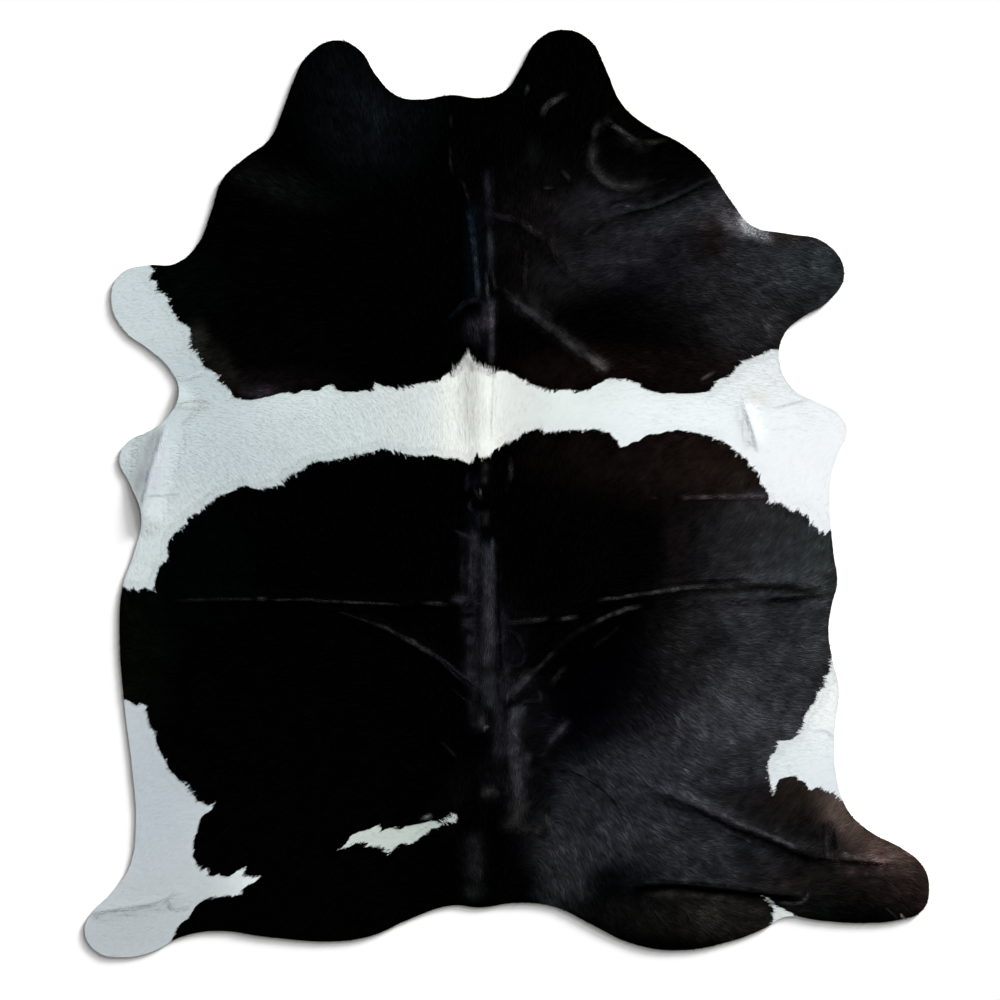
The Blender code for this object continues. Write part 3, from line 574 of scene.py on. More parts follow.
def pairs(row: Row) -> Array:
    """The places of a row of the tables, one a line."""
    return np.array(row, float).reshape(-1, 2)


def rgb(colour: Colour) -> Array:
    """A colour of the tables as three numbers."""
    return np.broadcast_to(np.array(colour, float), 3)


def lattice(x: Array, y: Array) -> Array:
    """The points of a lattice, row by row, from its columns' x and its rows' y."""
    return np.stack(np.meshgrid(x, y), axis=-1).reshape(-1, 2)


def lone_sides(triangles: Whole) -> Whole:
    """The sides that only one of the triangles has, each in that triangle's own direction."""
    sides = np.vstack([triangles[:, [0, 1]], triangles[:, [1, 2]], triangles[:, [2, 0]]])
    _, back, times = np.unique(
        np.sort(sides, axis=1), axis=0, return_inverse=True, return_counts=True
    )
    return sides[times[back.reshape(-1)] == 1]


def to_linear(colour: Colour | Array) -> Array:
    """Display colour as light: below 0.04045 a straight line, else ((c + 0.055) / 1.055)^2.4.

    Args:
        colour: numbers from 0 to 255, in any array shape.

    Returns:
        The same colours as linear numbers from 0 to 1.
    """
    share = np.clip(np.asarray(colour, float) / 255.0, 0.0, 1.0)
    return np.where(share <= 0.04045, share / 12.92, ((share + 0.055) / 1.055) ** 2.4)


def smooth_curve(points: Array, steps: int, closed: bool = False) -> Array:
    """A smooth curve through points, by the rule of Catmull and Rom.

    Between the points b and c, with a before and d after them, the place at share t is half of
    2b + (c - a) t + (2a - 5b + 4c - d) t^2 + (3b - a - 3c + d) t^3.

    Args:
        points: the points to pass through, one a row.
        steps: new points for each stretch between two of them.
        closed: whether the last point joins the first.

    Returns:
        Points along the curve, without a repeat of the first if it is closed.
    """
    if closed:
        a, b, c, d = (np.roll(points, shift, axis=0) for shift in (1, 0, -1, -2))
    else:
        padded = np.vstack([2 * points[:1] - points[1:2], points, 2 * points[-1:] - points[-2:-1]])
        a, b, c, d = padded[:-3], padded[1:-2], padded[2:-1], padded[3:]
    t = (np.arange(steps) / steps)[None, :, None]
    a, b, c, d = (corner[:, None, :] for corner in (a, b, c, d))
    curve = 0.5 * (
        2 * b + (c - a) * t + (2 * a - 5 * b + 4 * c - d) * t**2
        + (3 * b - a - 3 * c + d) * t**3
    )
    curve = curve.reshape(-1, points.shape[1])
    return curve if closed else np.vstack([curve, points[-1:]])


@dataclass
class Segments:
    """Straight stretches on the floor plane, as start and end points."""

    start: Array
    end: Array

    @classmethod
    def along(cls, path: Array, closed: bool = False) -> Segments:
        """The stretches between the points of a path, one after the other."""
        if closed:
            return cls(path, np.roll(path, -1, axis=0))
        return cls(path[:-1], path[1:])

    @classmethod
    def joined(cls, parts: list[Segments]) -> Segments:
        """The stretches of several paths together."""
        return cls(np.vstack([p.start for p in parts]), np.vstack([p.end for p in parts]))

    def nearest(self, points: Array) -> tuple[Array, Array, Array]:
        """For each point, how far the nearest stretch is, where on it, and how far along.

        Args:
            points: places on the floor plane, one a row.

        Returns:
            The distances, the nearest places, and the lengths from the start of the path.
        """
        span = self.end - self.start
        length = np.maximum(np.linalg.norm(span, axis=1), 1e-12)
        before = np.concatenate(([0.0], np.cumsum(length)))[:-1]
        gaps, places, runs = [], [], []
        for block in np.array_split(points, max(1, len(points) // CHUNK + 1)):
            offset = block[:, None, :] - self.start[None]
            share = np.clip((offset * span).sum(axis=2) / length**2, 0.0, 1.0)
            gap = np.linalg.norm(offset - share[:, :, None] * span, axis=2)
            best = gap.argmin(axis=1)
            rows = np.arange(len(block))
            gaps.append(gap[rows, best])
            places.append(self.start[best] + share[rows, best][:, None] * span[best])
            runs.append(before[best] + share[rows, best] * length[best])
        return np.concatenate(gaps), np.vstack(places), np.concatenate(runs)

    def heading(self, run: Array) -> Array:
        """Angles of the stretches that lie at these lengths from the start of the path."""
        span = self.end - self.start
        ends = np.cumsum(np.linalg.norm(span, axis=1))
        stretch = span[np.minimum(np.searchsorted(ends, run), len(span) - 1)]
        return np.arctan2(stretch[:, 1], stretch[:, 0])

    def encloses(self, points: Array) -> Flags:
        """Whether each point is inside: an odd number of stretches lies to its right."""
        found = []
        x0, y0, x1, y1 = *self.start.T, *self.end.T
        rise = np.where(y1 == y0, 1.0, y1 - y0)
        for block in np.array_split(points, max(1, len(points) // CHUNK + 1)):
            x, y = block[:, :1], block[:, 1:]
            crosses = (y0 > y) != (y1 > y)
            meets = x0 + (y - y0) * (x1 - x0) / rise
            found.append((crosses & (x < meets)).sum(axis=1) % 2 == 1)
        return np.concatenate(found)


@dataclass(frozen=True)
class Picture:
    """Turns pixels of the reference picture into metres on the floor.

    The rug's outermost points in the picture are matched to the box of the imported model.
    """

    low: Pair
    high: Pair
    left: float = 84.9
    top: float = 30.0
    right: float = 928.888
    bottom: float = 956.801
    side: float = 1000.0     # of the whole picture

    @property
    def pixel(self) -> float:
        """Metres to a pixel."""
        return (self.high[1] - self.low[1]) / (self.bottom - self.top)

    def metres(self, pixels: object) -> Array:
        """Places in pixels, counted from the picture's top left, as metres."""
        places = np.asarray(pixels, float)
        middle = np.array([(self.left + self.right) / 2, (self.top + self.bottom) / 2])
        centre = np.array([(self.low[0] + self.high[0]) / 2, (self.low[1] + self.high[1]) / 2])
        return (places - middle) * np.array([1.0, -1.0]) * self.pixel + centre

    def path(self, route: Row) -> Segments:
        """A smooth path through places that are counted from the middle of the first pixel."""
        return Segments.along(smooth_curve(self.metres(pairs(route) + 0.5), ROUTE_STEPS))


@dataclass
class Field2D:
    """Numbers on the points of an even lattice, read in straight lines between them."""

    low: Array
    spacing: float
    values: Array        # rows run along y, columns along x

    def at(self, points: Array) -> Array:
        """The value at each point: the four round it, weighed by how near they are."""
        rows, columns = self.values.shape
        x = np.clip((points[:, 0] - self.low[0]) / self.spacing, 0, columns - 1.001)
        y = np.clip((points[:, 1] - self.low[1]) / self.spacing, 0, rows - 1.001)
        i, j = y.astype(int), x.astype(int)
        u, v = x - j, y - i
        lower = self.values[i, j] * (1 - u) + self.values[i, j + 1] * u
        upper = self.values[i + 1, j] * (1 - u) + self.values[i + 1, j + 1] * u
        return lower * (1 - v) + upper * v

    def slope(self, points: Array) -> Array:
        """How steeply the values rise along x and along y, over one cell about each point."""
        half = self.spacing / 2
        steps = (np.array([half, 0.0]), np.array([0.0, half]))
        return np.stack(
            [(self.at(points + step) - self.at(points - step)) / self.spacing for step in steps],
            axis=1,
        )


def soft_noise(points: Array, size: float, seed: int) -> Array:
    """Smooth random numbers from -1 to 1: a lattice of them, eased from point to point.

    Args:
        points: places, one a row.
        size: the lattice's spacing, in metres.
        seed: which lattice of random numbers.

    Returns:
        One number for each place.
    """
    table = np.random.default_rng(seed).uniform(-1.0, 1.0, (256, 256))
    cell = points / size
    whole = np.floor(cell).astype(int)
    part = cell - whole
    part = part * part * (3.0 - 2.0 * part)
    i, j = whole[:, 1] % 256, whole[:, 0] % 256
    i1, j1 = (i + 1) % 256, (j + 1) % 256
    lower = table[i, j] * (1 - part[:, 0]) + table[i, j1] * part[:, 0]
    upper = table[i1, j] * (1 - part[:, 0]) + table[i1, j1] * part[:, 0]
    return lower * (1 - part[:, 1]) + upper * part[:, 1]


def streaks(points: Array, along: Array, size: float, seed: int) -> Array:
    """The same noise drawn out along the hair: five places' sum over 2.6, about as strong."""
    total = np.zeros(len(points))
    for step in (-2.0, -1.0, 0.0, 1.0, 2.0):
        total += soft_noise(points + along * (step * size), size, seed)
    return total / 2.6


def scattered(low: Array, high: Array, spacing: float, rng: np.random.Generator) -> Array:
    """Places over a box: a lattice of the spacing, each point moved at random in its cell."""
    grid = lattice(np.arange(low[0], high[0], spacing), np.arange(low[1], high[1], spacing))
    return grid + rng.uniform(0.0, spacing, grid.shape)


def near_to(points: Array, segments: Segments, reach: float) -> tuple[Array, Array, Flags]:
    """Distance and run for the points in a route's box, and which points those are."""
    every = np.vstack([segments.start, segments.end])
    low, high = every.min(axis=0) - reach, every.max(axis=0) + reach
    near = ((points > low) & (points < high)).all(axis=1)
    if not near.any():
        return np.empty(0), np.empty(0), near
    gap, _, run = segments.nearest(points[near])
    return gap, run, near


# -------------------- what the rug is like


@dataclass
class Outline:
    """The rug's cut edge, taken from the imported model's underside."""

    node: Object
    steps: int = 3       # new points for each of the model's stretches of edge
    near: float = 0.030  # metres within which distances are worked out exactly
    segments: Segments = field(init=False)
    depths: Field2D | None = None    # the distances on a lattice, once the sheet is cut

    def __post_init__(self) -> None:
        """Reads the edge once, and smooths it."""
        ring = self.underside_ring()
        self.segments = Segments.along(smooth_curve(ring, self.steps, closed=True), closed=True)

    def underside_ring(self) -> Array:
        """The underside's rim, in order: edges that only one downward face has.

        The order starts at the rug's rightmost point and ends where that point comes again.
        """
        mesh = self.node.data
        corner = np.empty(len(mesh.vertices) * 3)
        mesh.vertices.foreach_get("co", corner)
        corner = corner.reshape(-1, 3)
        triangle = np.empty(len(mesh.polygons) * 3, np.int64)
        mesh.polygons.foreach_get("vertices", triangle)
        _, first, same = np.unique(
            np.round(corner * 1e5).astype(np.int64), axis=0, return_index=True, return_inverse=True
        )
        place = corner[first]
        triangle = same.reshape(-1)[triangle.reshape(-1, 3)]
        a, b, c = (place[triangle[:, k]] for k in range(3))
        facing = np.cross(b - a, c - a)[:, 2] / np.maximum(
            np.linalg.norm(np.cross(b - a, c - a), axis=1), 1e-15
        )
        rim = lone_sides(triangle[facing < -0.5])
        following = np.full(len(place), -1)
        following[rim[:, 0]] = rim[:, 1]
        start = rim[place[rim[:, 0], 0].argmax(), 0]
        order = in_order(following, start, len(rim) + 1)
        return place[order[: 1 + (order[1:] == start).argmax()]][:, :2]

    def distance(self, points: Array) -> Array:
        """How far inside the edge each point is, and less than nothing outside it."""
        if self.depths is None:
            return self.exact(points)
        rough = self.depths.at(points)
        close = np.abs(rough) < self.near
        rough[close] = self.exact(points[close])
        return rough

    def exact(self, points: Array) -> Array:
        """The same, worked out from the edge itself."""
        gap, _, _ = self.segments.nearest(points)
        return np.where(self.segments.encloses(points), gap, -gap)


def in_order(following: Whole, start: int, count: int) -> Whole:
    """Points round a loop in order, found by doubling: those so far, then as many again.

    Args:
        following: for each point, the next one round the loop.
        start: the first point.
        count: how many points to find, with repeats if the loop has fewer.

    Returns:
        The numbers of the points, one after the other.
    """
    order = np.array([start])
    ahead = following.copy()
    while len(order) < count:
        order = np.concatenate([order, ahead[order]])
        ahead = np.where(ahead >= 0, ahead[ahead], -1)
    return order[:count]


@dataclass
class Relief:
    """How high the skin's underside rises off the floor, and how uneven its top is."""

    picture: Picture
    unevenness: float = 0.00035       # of the skin's top, up and down
    unevenness_size: float = 0.055    # metres from one soft bump to the next hollow
    paths: list[tuple[Crease, Segments, float]] = field(init=False)

    def __post_init__(self) -> None:
        """Smooths each crease's route."""
        self.paths = []
        for crease in CREASES:
            path = smooth_curve(self.picture.metres(pairs(crease.route)), ROUTE_STEPS)
            length = float(np.linalg.norm(np.diff(path, axis=0), axis=1).sum())
            self.paths.append((crease, Segments.along(path), length))

    def rise(self, points: Array) -> Array:
        """Height of the underside.

        Across a crease it is h (1 - (d / reach)^2)^2 at distance d, eased to nothing over its
        ends by s^2 (3 - 2 s). Heights that overlap are the root of their summed squares.
        """
        total = np.zeros(len(points))
        for crease, segments, length in self.paths:
            gap, run, near = near_to(points, segments, crease.reach)
            bell = np.clip(1.0 - (gap / crease.reach) ** 2, 0.0, None) ** 2
            if crease.fade > 0.0:
                share = np.clip(np.minimum(run, length - run) / crease.fade, 0.0, 1.0)
                bell *= share**2 * (3.0 - 2.0 * share)
            total[near] += (crease.height * bell) ** 2
        return np.sqrt(total)

    def uneven(self, points: Array) -> Array:
        """How far the top of the skin strays from its even thickness."""
        return self.unevenness * soft_noise(points, self.unevenness_size, SEED)


@dataclass
class Markings:
    """Which hair is black: inside the front or the rear patch, but not in a white mark."""

    picture: Picture
    patches: list[Segments] = field(init=False)
    marks: list[Segments] = field(init=False)
    edges: Segments = field(init=False)

    def __post_init__(self) -> None:
        """Turns the tables into closed outlines in metres."""
        stretches = [pairs(row) for row in (FRONT_PATCH_FOOT, REAR_PATCH_HEAD, REAR_PATCH_RIGHT,
                                            REAR_PATCH_LEFT)]
        foot, head, right, left = stretches
        front = (foot, pairs(FRONT_CLOSING))
        rear = (head, pairs(REAR_CLOSING_RIGHT), right, pairs(REAR_CLOSING_FOOT), left[::-1],
                pairs(REAR_CLOSING_LEFT))
        self.patches = [self.closed(np.vstack(parts)) for parts in (front, rear)]
        self.marks = [self.closed(pairs(row)) for row in (WHITE_SLASH, WHITE_WEDGE)]
        self.edges = Segments.joined(
            [Segments.along(self.picture.metres(points)) for points in stretches] + self.marks
        )

    def closed(self, corners: Array) -> Segments:
        """A closed outline in metres, from its corners in pixels."""
        return Segments.along(self.picture.metres(corners), closed=True)

    def black(self, points: Array) -> Flags:
        """Whether the hair at each point is black."""
        in_patch = np.zeros(len(points), bool)
        for patch in self.patches:
            in_patch |= patch.encloses(points)
        for mark in self.marks:
            in_patch &= ~mark.encloses(points)
        return in_patch

    def depth(self, points: Array) -> Array:
        """How deep in black hair each point is, and less than nothing in white hair."""
        gap, _, _ = self.edges.nearest(points)
        return np.where(self.black(points), gap, -gap)


@dataclass
class HairLie:
    """Which way the hair lies, blended from the table of directions."""

    picture: Picture
    reach: float = 46.0  # pixels over which a direction holds

    def angle(self, points: Array) -> Array:
        """Direction of the tips, as the angle of a weighted sum of unit vectors.

        Each entry's weight is exp(-d^2 / 2 r^2), plus a little that falls as 1 / d^2, which
        decides where no entry is near.
        """
        table = np.array(LIES, float)
        where, turn = self.picture.metres(table[:, :2]), np.radians(table[:, 2])
        reach = self.reach * self.picture.pixel
        total = np.zeros((len(points), 2))
        for place, angle in zip(where, turn):
            square = ((points - place) ** 2).sum(axis=1) / reach**2
            weight = np.exp(-0.5 * square) + 0.01 / (1.0 + square)
            total += weight[:, None] * np.array([math.cos(angle), math.sin(angle)])
        return np.arctan2(total[:, 1], total[:, 0])


@dataclass(frozen=True)
class HairBody:
    """How one kind of hair looks and stands. Angles are degrees, lengths metres."""

    plain: Colour
    tones: tuple[Tone, ...]
    lines: tuple[Line, ...]
    line_gain: float      # makes up for what streaks lose to the hair beside them
    ridge: float          # height of a lock's back above the skin, near its root
    lift: float           # height of its tip above the skin
    lean: float           # how far the light falls on its two sides from different angles
    roll: float           # how far locks differ in how they are turned to the light
    follow: float         # share of the skin's own slope that shows on the hair
    uneven: float         # how much single locks differ in tone
    mottle: float         # how much streaks of many locks differ in tone
    ends: tuple[float, float, float, float]   # tone at the root's corners, back and tip; the darker root is painted shade


class Coat(Enum):
    """The two kinds of hair on the rug."""

    BLACK = HairBody(
        1, BLACK_TONES, BLACK_LINES, line_gain=1.2, ridge=0.0006, lift=0.0013, lean=9.0,
        roll=6.0, follow=1.0, uneven=0.2, mottle=0.62, ends=(0.8, 0.8, 1.0, 1.15),
    )
    WHITE = HairBody(
        (221, 228, 229), WHITE_TONES, WHITE_LINES, line_gain=1.0, ridge=0.0002, lift=0.0004,
        lean=1.2, roll=0.6, follow=0.3, uneven=0.01, mottle=0.01, ends=(0.99, 0.99, 1.0, 1.0),
    )


@dataclass
class HairColour:
    """The colour of the hair at any place, in light, worked out from the tables of tones: the hair's own
    colour, with painted sheen, highlights and shade.
    """

    picture: Picture
    black_level: float = 1.5      # display level that the gloss alone gives black hair
    wobble: float = 0.6           # pixels by which streaks stray from their routes
    narrow: float = 2.95          # pixels: the half-width up to which only fine locks show a streak
    groove_shade: float = 45.0          # darker streaks than this (red + green + blue), painted shade in grooves, are unbroken
    fade: float = 0.030           # metres over which a long streak dies away at each end
    wobble_size: float = 0.024    # metres from one stray of a streak to the next
    patch_size: float = 0.016     # metres from a strong stretch of a streak to a weak one
    most_white: float = 0.93      # share of the light that the whitest hair gives back

    def shade(self, points: Array, coat: Coat, fine: bool) -> Array:
        """Display colours: the coat's plain colour and every tone, weighed by nearness.

        Args:
            points: places on the rug.
            coat: which hair grows there.
            fine: whether the narrow streaks count too.

        Returns:
            Colours from 0 to 255, one a row.
        """
        total = np.tile(rgb(coat.value.plain), (len(points), 1))
        weight = np.ones(len(points))
        for tone in coat.value.tones:
            offset = points - self.picture.metres((tone.x, tone.y))
            turn = math.radians(tone.turn)
            along = offset @ np.array([math.cos(turn), math.sin(turn)])
            across = offset @ np.array([-math.sin(turn), math.cos(turn)])
            square = (along / (tone.wide * self.picture.pixel)) ** 2
            square += (across / (tone.high * self.picture.pixel)) ** 2
            here = tone.strength * np.exp(-0.5 * square)
            total += here[:, None] * rgb(tone.colour)
            weight += here
        shade = total / weight[:, None]
        wobble = [soft_noise(points, self.wobble_size, SEED + k) for k in (21, 22)]
        moved = points + self.wobble * self.picture.pixel * np.stack(wobble, axis=1)
        patchy = np.clip(0.95 + 0.35 * soft_noise(points, self.patch_size, SEED + 23), 0.3, 1.0)
        for line in coat.value.lines:
            if fine or line.half_width > self.narrow:
                share, near = self.streak(moved, line)
                colour = rgb(line.colour)
                # Lighter streaks, painted sheen, come in patches.
                if colour.sum() > self.groove_shade:
                    share = share * patchy[near]
                share = share[:, None]
                shade[near] = shade[near] * (1 - share) + coat.value.line_gain * colour * share
        return shade

    def streak(self, points: Array, line: Line) -> tuple[Array, Flags]:
        """How far a streak takes over: strength / (1 + (d / half-width)^4), less at its ends.

        Args:
            points: places on the rug.
            line: the streak.

        Returns:
            The share for each point near the streak, and which points those are.
        """
        half = line.half_width * self.picture.pixel
        path = self.picture.path(line.route)
        length = float(np.linalg.norm(path.end - path.start, axis=1).sum())
        gap, run, near = near_to(points, path, 2.4 * half)
        end = min(0.3 * length, self.fade)
        share = line.strength / (1.0 + (gap / half) ** 4)
        return share * np.clip(np.minimum(run, length - run) / end, 0.0, 1.0), near

    def reflectance(self, points: Array, coat: Coat, fine: bool = False) -> Array:
        """The same colours as the share of light that the hair gives back."""
        shade = self.shade(points, coat, fine)
        if coat is Coat.BLACK:
            return np.clip(to_linear(shade) - to_linear(self.black_level), 0.0002, 1.0)
        return np.clip(to_linear(shade), 0.0, self.most_white)


# -------------------- finishes


class Nodes:
    """A material's node tree, with short ways to add to it."""

    def __init__(self, name: str) -> None:
        """Starts a material that holds only its surface shader."""
        self.material = bpy.data.materials.new(name)
        self.material.use_nodes = True
        self.tree = self.material.node_tree
        self.shader = self.tree.nodes["Principled BSDF"]

    def add(self, kind: str, **settings: object) -> Node:
        """A new node of that kind, with its settings."""
        node = self.tree.nodes.new(kind)
        for name, value in settings.items():
            setattr(node, name, value)
        return node

    def link(self, source: NodeSocket, target: NodeSocket) -> None:
        """Joins an output to an input."""
        self.tree.links.new(source, target)

    def noise(self, scale: float, detail: float, stretch: tuple[float, float, float]) -> NodeSocket:
        """Noise in the piece's own coordinates, pulled out by a stretch along each axis."""
        place = self.add("ShaderNodeTexCoord")
        mapping = self.add("ShaderNodeMapping")
        mapping.inputs["Scale"].default_value = stretch
        noise = self.add("ShaderNodeTexNoise")
        noise.inputs["Scale"].default_value = scale
        noise.inputs["Detail"].default_value = detail
        self.link(place.outputs["Object"], mapping.inputs["Vector"])
        self.link(mapping.outputs["Vector"], noise.inputs["Vector"])
        return noise.outputs["Fac"]

    def mix(self, share: NodeSocket, a: object, b: object) -> NodeSocket:
        """Colour a turning into colour b; each is a socket or a colour."""
        node = self.add("ShaderNodeMix", data_type="RGBA")
        self.link(share, node.inputs["Factor"])
        for value, name in ((a, "A"), (b, "B")):
            socket = [x for x in node.inputs if x.name == name and x.type == "RGBA"][0]
            if isinstance(value, NodeSocket):
                self.link(value, socket)
            else:
                socket.default_value = value
        return [x for x in node.outputs if x.type == "RGBA"][0]

    def between(self, value: NodeSocket, low: float, high: float,
                to_low: float = 0.0, to_high: float = 1.0) -> NodeSocket:
        """A number moved from one range to another, and held inside it."""
        node = self.add("ShaderNodeMapRange")
        self.link(value, node.inputs["Value"])
        for name, number in (("From Min", low), ("From Max", high),
                             ("To Min", to_low), ("To Max", to_high)):
            node.inputs[name].default_value = number
        return node.outputs["Result"]

    def bump(self, height: NodeSocket, strength: float, distance: float) -> None:
        """Makes the surface look raised by a height."""
        node = self.add("ShaderNodeBump")
        node.inputs["Strength"].default_value = strength
        node.inputs["Distance"].default_value = distance
        self.link(height, node.inputs["Height"])
        self.link(node.outputs["Normal"], self.shader.inputs["Normal"])

    def constant(self, **values: float) -> None:
        """Sets the shader's own sockets; an underscore in a name stands for a space."""
        for name, value in values.items():
            self.shader.inputs[name.replace("_", " ")].default_value = value


@dataclass(frozen=True)
class HairFinish:
    """Short hair, coloured lock by lock; the sheen of dark hair grows with its lightness."""

    name: str
    roughness: float = 0.55
    dull: float = 0.002      # gloss of the blackest hair
    glossy: float = 0.22     # gloss of the lightest

    def material(self) -> Material:
        """The material: the lock's own colour and a gloss that follows it."""
        nodes = Nodes(self.name)
        colour = nodes.add("ShaderNodeVertexColor", layer_name=LOCK_COLOUR)
        nodes.link(colour.outputs["Color"], nodes.shader.inputs["Base Color"])
        level = nodes.add("ShaderNodeRGBToBW")
        nodes.link(colour.outputs["Color"], level.inputs["Color"])
        gloss = nodes.between(level.outputs["Val"], 0.001, 0.05, self.dull, self.glossy)
        nodes.link(gloss, nodes.shader.inputs["Specular IOR Level"])
        nodes.constant(Roughness=self.roughness)
        return nodes.material


@dataclass(frozen=True)
class SkinFinish:
    """The haired side of the skin, seen between the locks: hair roots in the same markings."""

    name: str = "hair_roots"
    grain: float = 420.0     # scale of the noise
    edge: float = 0.0016     # metres by which it moves the markings' edges
    blur: float = 0.0004     # metres from the middle of that edge to full black or white
    roughness: float = 0.8
    gloss: float = 0.02

    def material(self) -> Material:
        """The material: black or white by depth in the marking, each in its own tone."""
        nodes = Nodes(self.name)
        depth = nodes.add("ShaderNodeAttribute", attribute_name=MARKING)
        black = nodes.add("ShaderNodeAttribute", attribute_name=BLACK_SHADE)
        white = nodes.add("ShaderNodeAttribute", attribute_name=WHITE_SHADE)
        ragged = nodes.between(
            nodes.noise(self.grain, 2.0, (1.0, 1.0, 1.0)), 0.0, 1.0, -self.edge, self.edge
        )
        total = nodes.add("ShaderNodeMath", operation="ADD")
        nodes.link(depth.outputs["Fac"], total.inputs[0])
        nodes.link(ragged, total.inputs[1])
        share = nodes.between(total.outputs[0], -self.blur, self.blur)
        colour = nodes.mix(share, white.outputs["Color"], black.outputs["Color"])
        nodes.link(colour, nodes.shader.inputs["Base Color"])
        nodes.constant(Roughness=self.roughness, Specular_IOR_Level=self.gloss)
        return nodes.material


@dataclass(frozen=True)
class SuedeFinish:
    """The bare flesh side and the cut edge: pale tanned leather with a short nap."""

    name: str = "suede_leather"
    pale: Colour = (214.0, 200.0, 178.0)
    deep: Colour = (186.0, 166.0, 140.0)
    worn: Colour = (236.0, 226.0, 208.0)
    nap: float = 260.0       # scale of the fine nap
    cloud: float = 7.0       # scale of the clouds of tone
    roughness: float = 0.92

    def material(self) -> Material:
        """The material: clouds of two tan tones, and a fine nap that is paler where it is worn."""
        nodes = Nodes(self.name)
        clouds = nodes.between(nodes.noise(self.cloud, 5.0, (1.0, 1.0, 1.0)), 0.35, 0.65)
        colour = nodes.mix(clouds, (*to_linear(self.pale), 1.0), (*to_linear(self.deep), 1.0))
        nap = nodes.noise(self.nap, 4.0, (1.0, 0.55, 1.0))
        share = nodes.between(nap, 0.3, 0.75, 0.0, 0.45)
        colour = nodes.mix(share, colour, (*to_linear(self.worn), 1.0))
        nodes.link(colour, nodes.shader.inputs["Base Color"])
        nodes.constant(Roughness=self.roughness, Specular_IOR_Level=0.15,
                       Sheen_Weight=0.15, Sheen_Roughness=0.6)
        nodes.bump(nap, 0.5, 0.0008)
        return nodes.material


# -------------------- meshes


def new_piece(name: str, points: Array, faces: Whole, materials: list[Material]) -> Object:
    """A mesh object at the origin, from whole arrays.

    Args:
        name: the piece's name.
        points: its vertices, one a row.
        faces: its faces as vertex numbers, all with the same number of corners.
        materials: its materials, in the order of their slots.

    Returns:
        The new object.
    """
    mesh = bpy.data.meshes.new(name)
    corners = faces.shape[1]
    mesh.vertices.add(len(points))
    mesh.vertices.foreach_set("co", points.astype(np.float32).ravel())
    mesh.loops.add(faces.size)
    mesh.loops.foreach_set("vertex_index", faces.astype(np.int32).ravel())
    mesh.polygons.add(len(faces))
    mesh.polygons.foreach_set("loop_start", np.arange(0, faces.size, corners, dtype=np.int32))
    for material in materials:
        mesh.materials.append(material)
    mesh.update(calc_edges=True)
    obj = bpy.data.objects.new(name, mesh)
    bpy.context.scene.collection.objects.link(obj)
    return obj


def paint(mesh: Mesh, name: str, colours: Array) -> None:
    """Gives a mesh a colour for each vertex, in light."""
    layer = mesh.color_attributes.new(name, "FLOAT_COLOR", "POINT")
    values = np.column_stack([colours, np.ones(len(colours))])
    layer.data.foreach_set("color", values.astype(np.float32).ravel())


def set_normals(mesh: Mesh, normals: Array, domain: str) -> None:
    """Gives a mesh the directions from which light meets its points or its corners fully."""
    unit = normals / np.linalg.norm(normals, axis=1)[:, None]
    layer = mesh.attributes.new("custom_normal", "FLOAT_VECTOR", domain)
    layer.data.foreach_set("vector", unit.astype(np.float32).ravel())


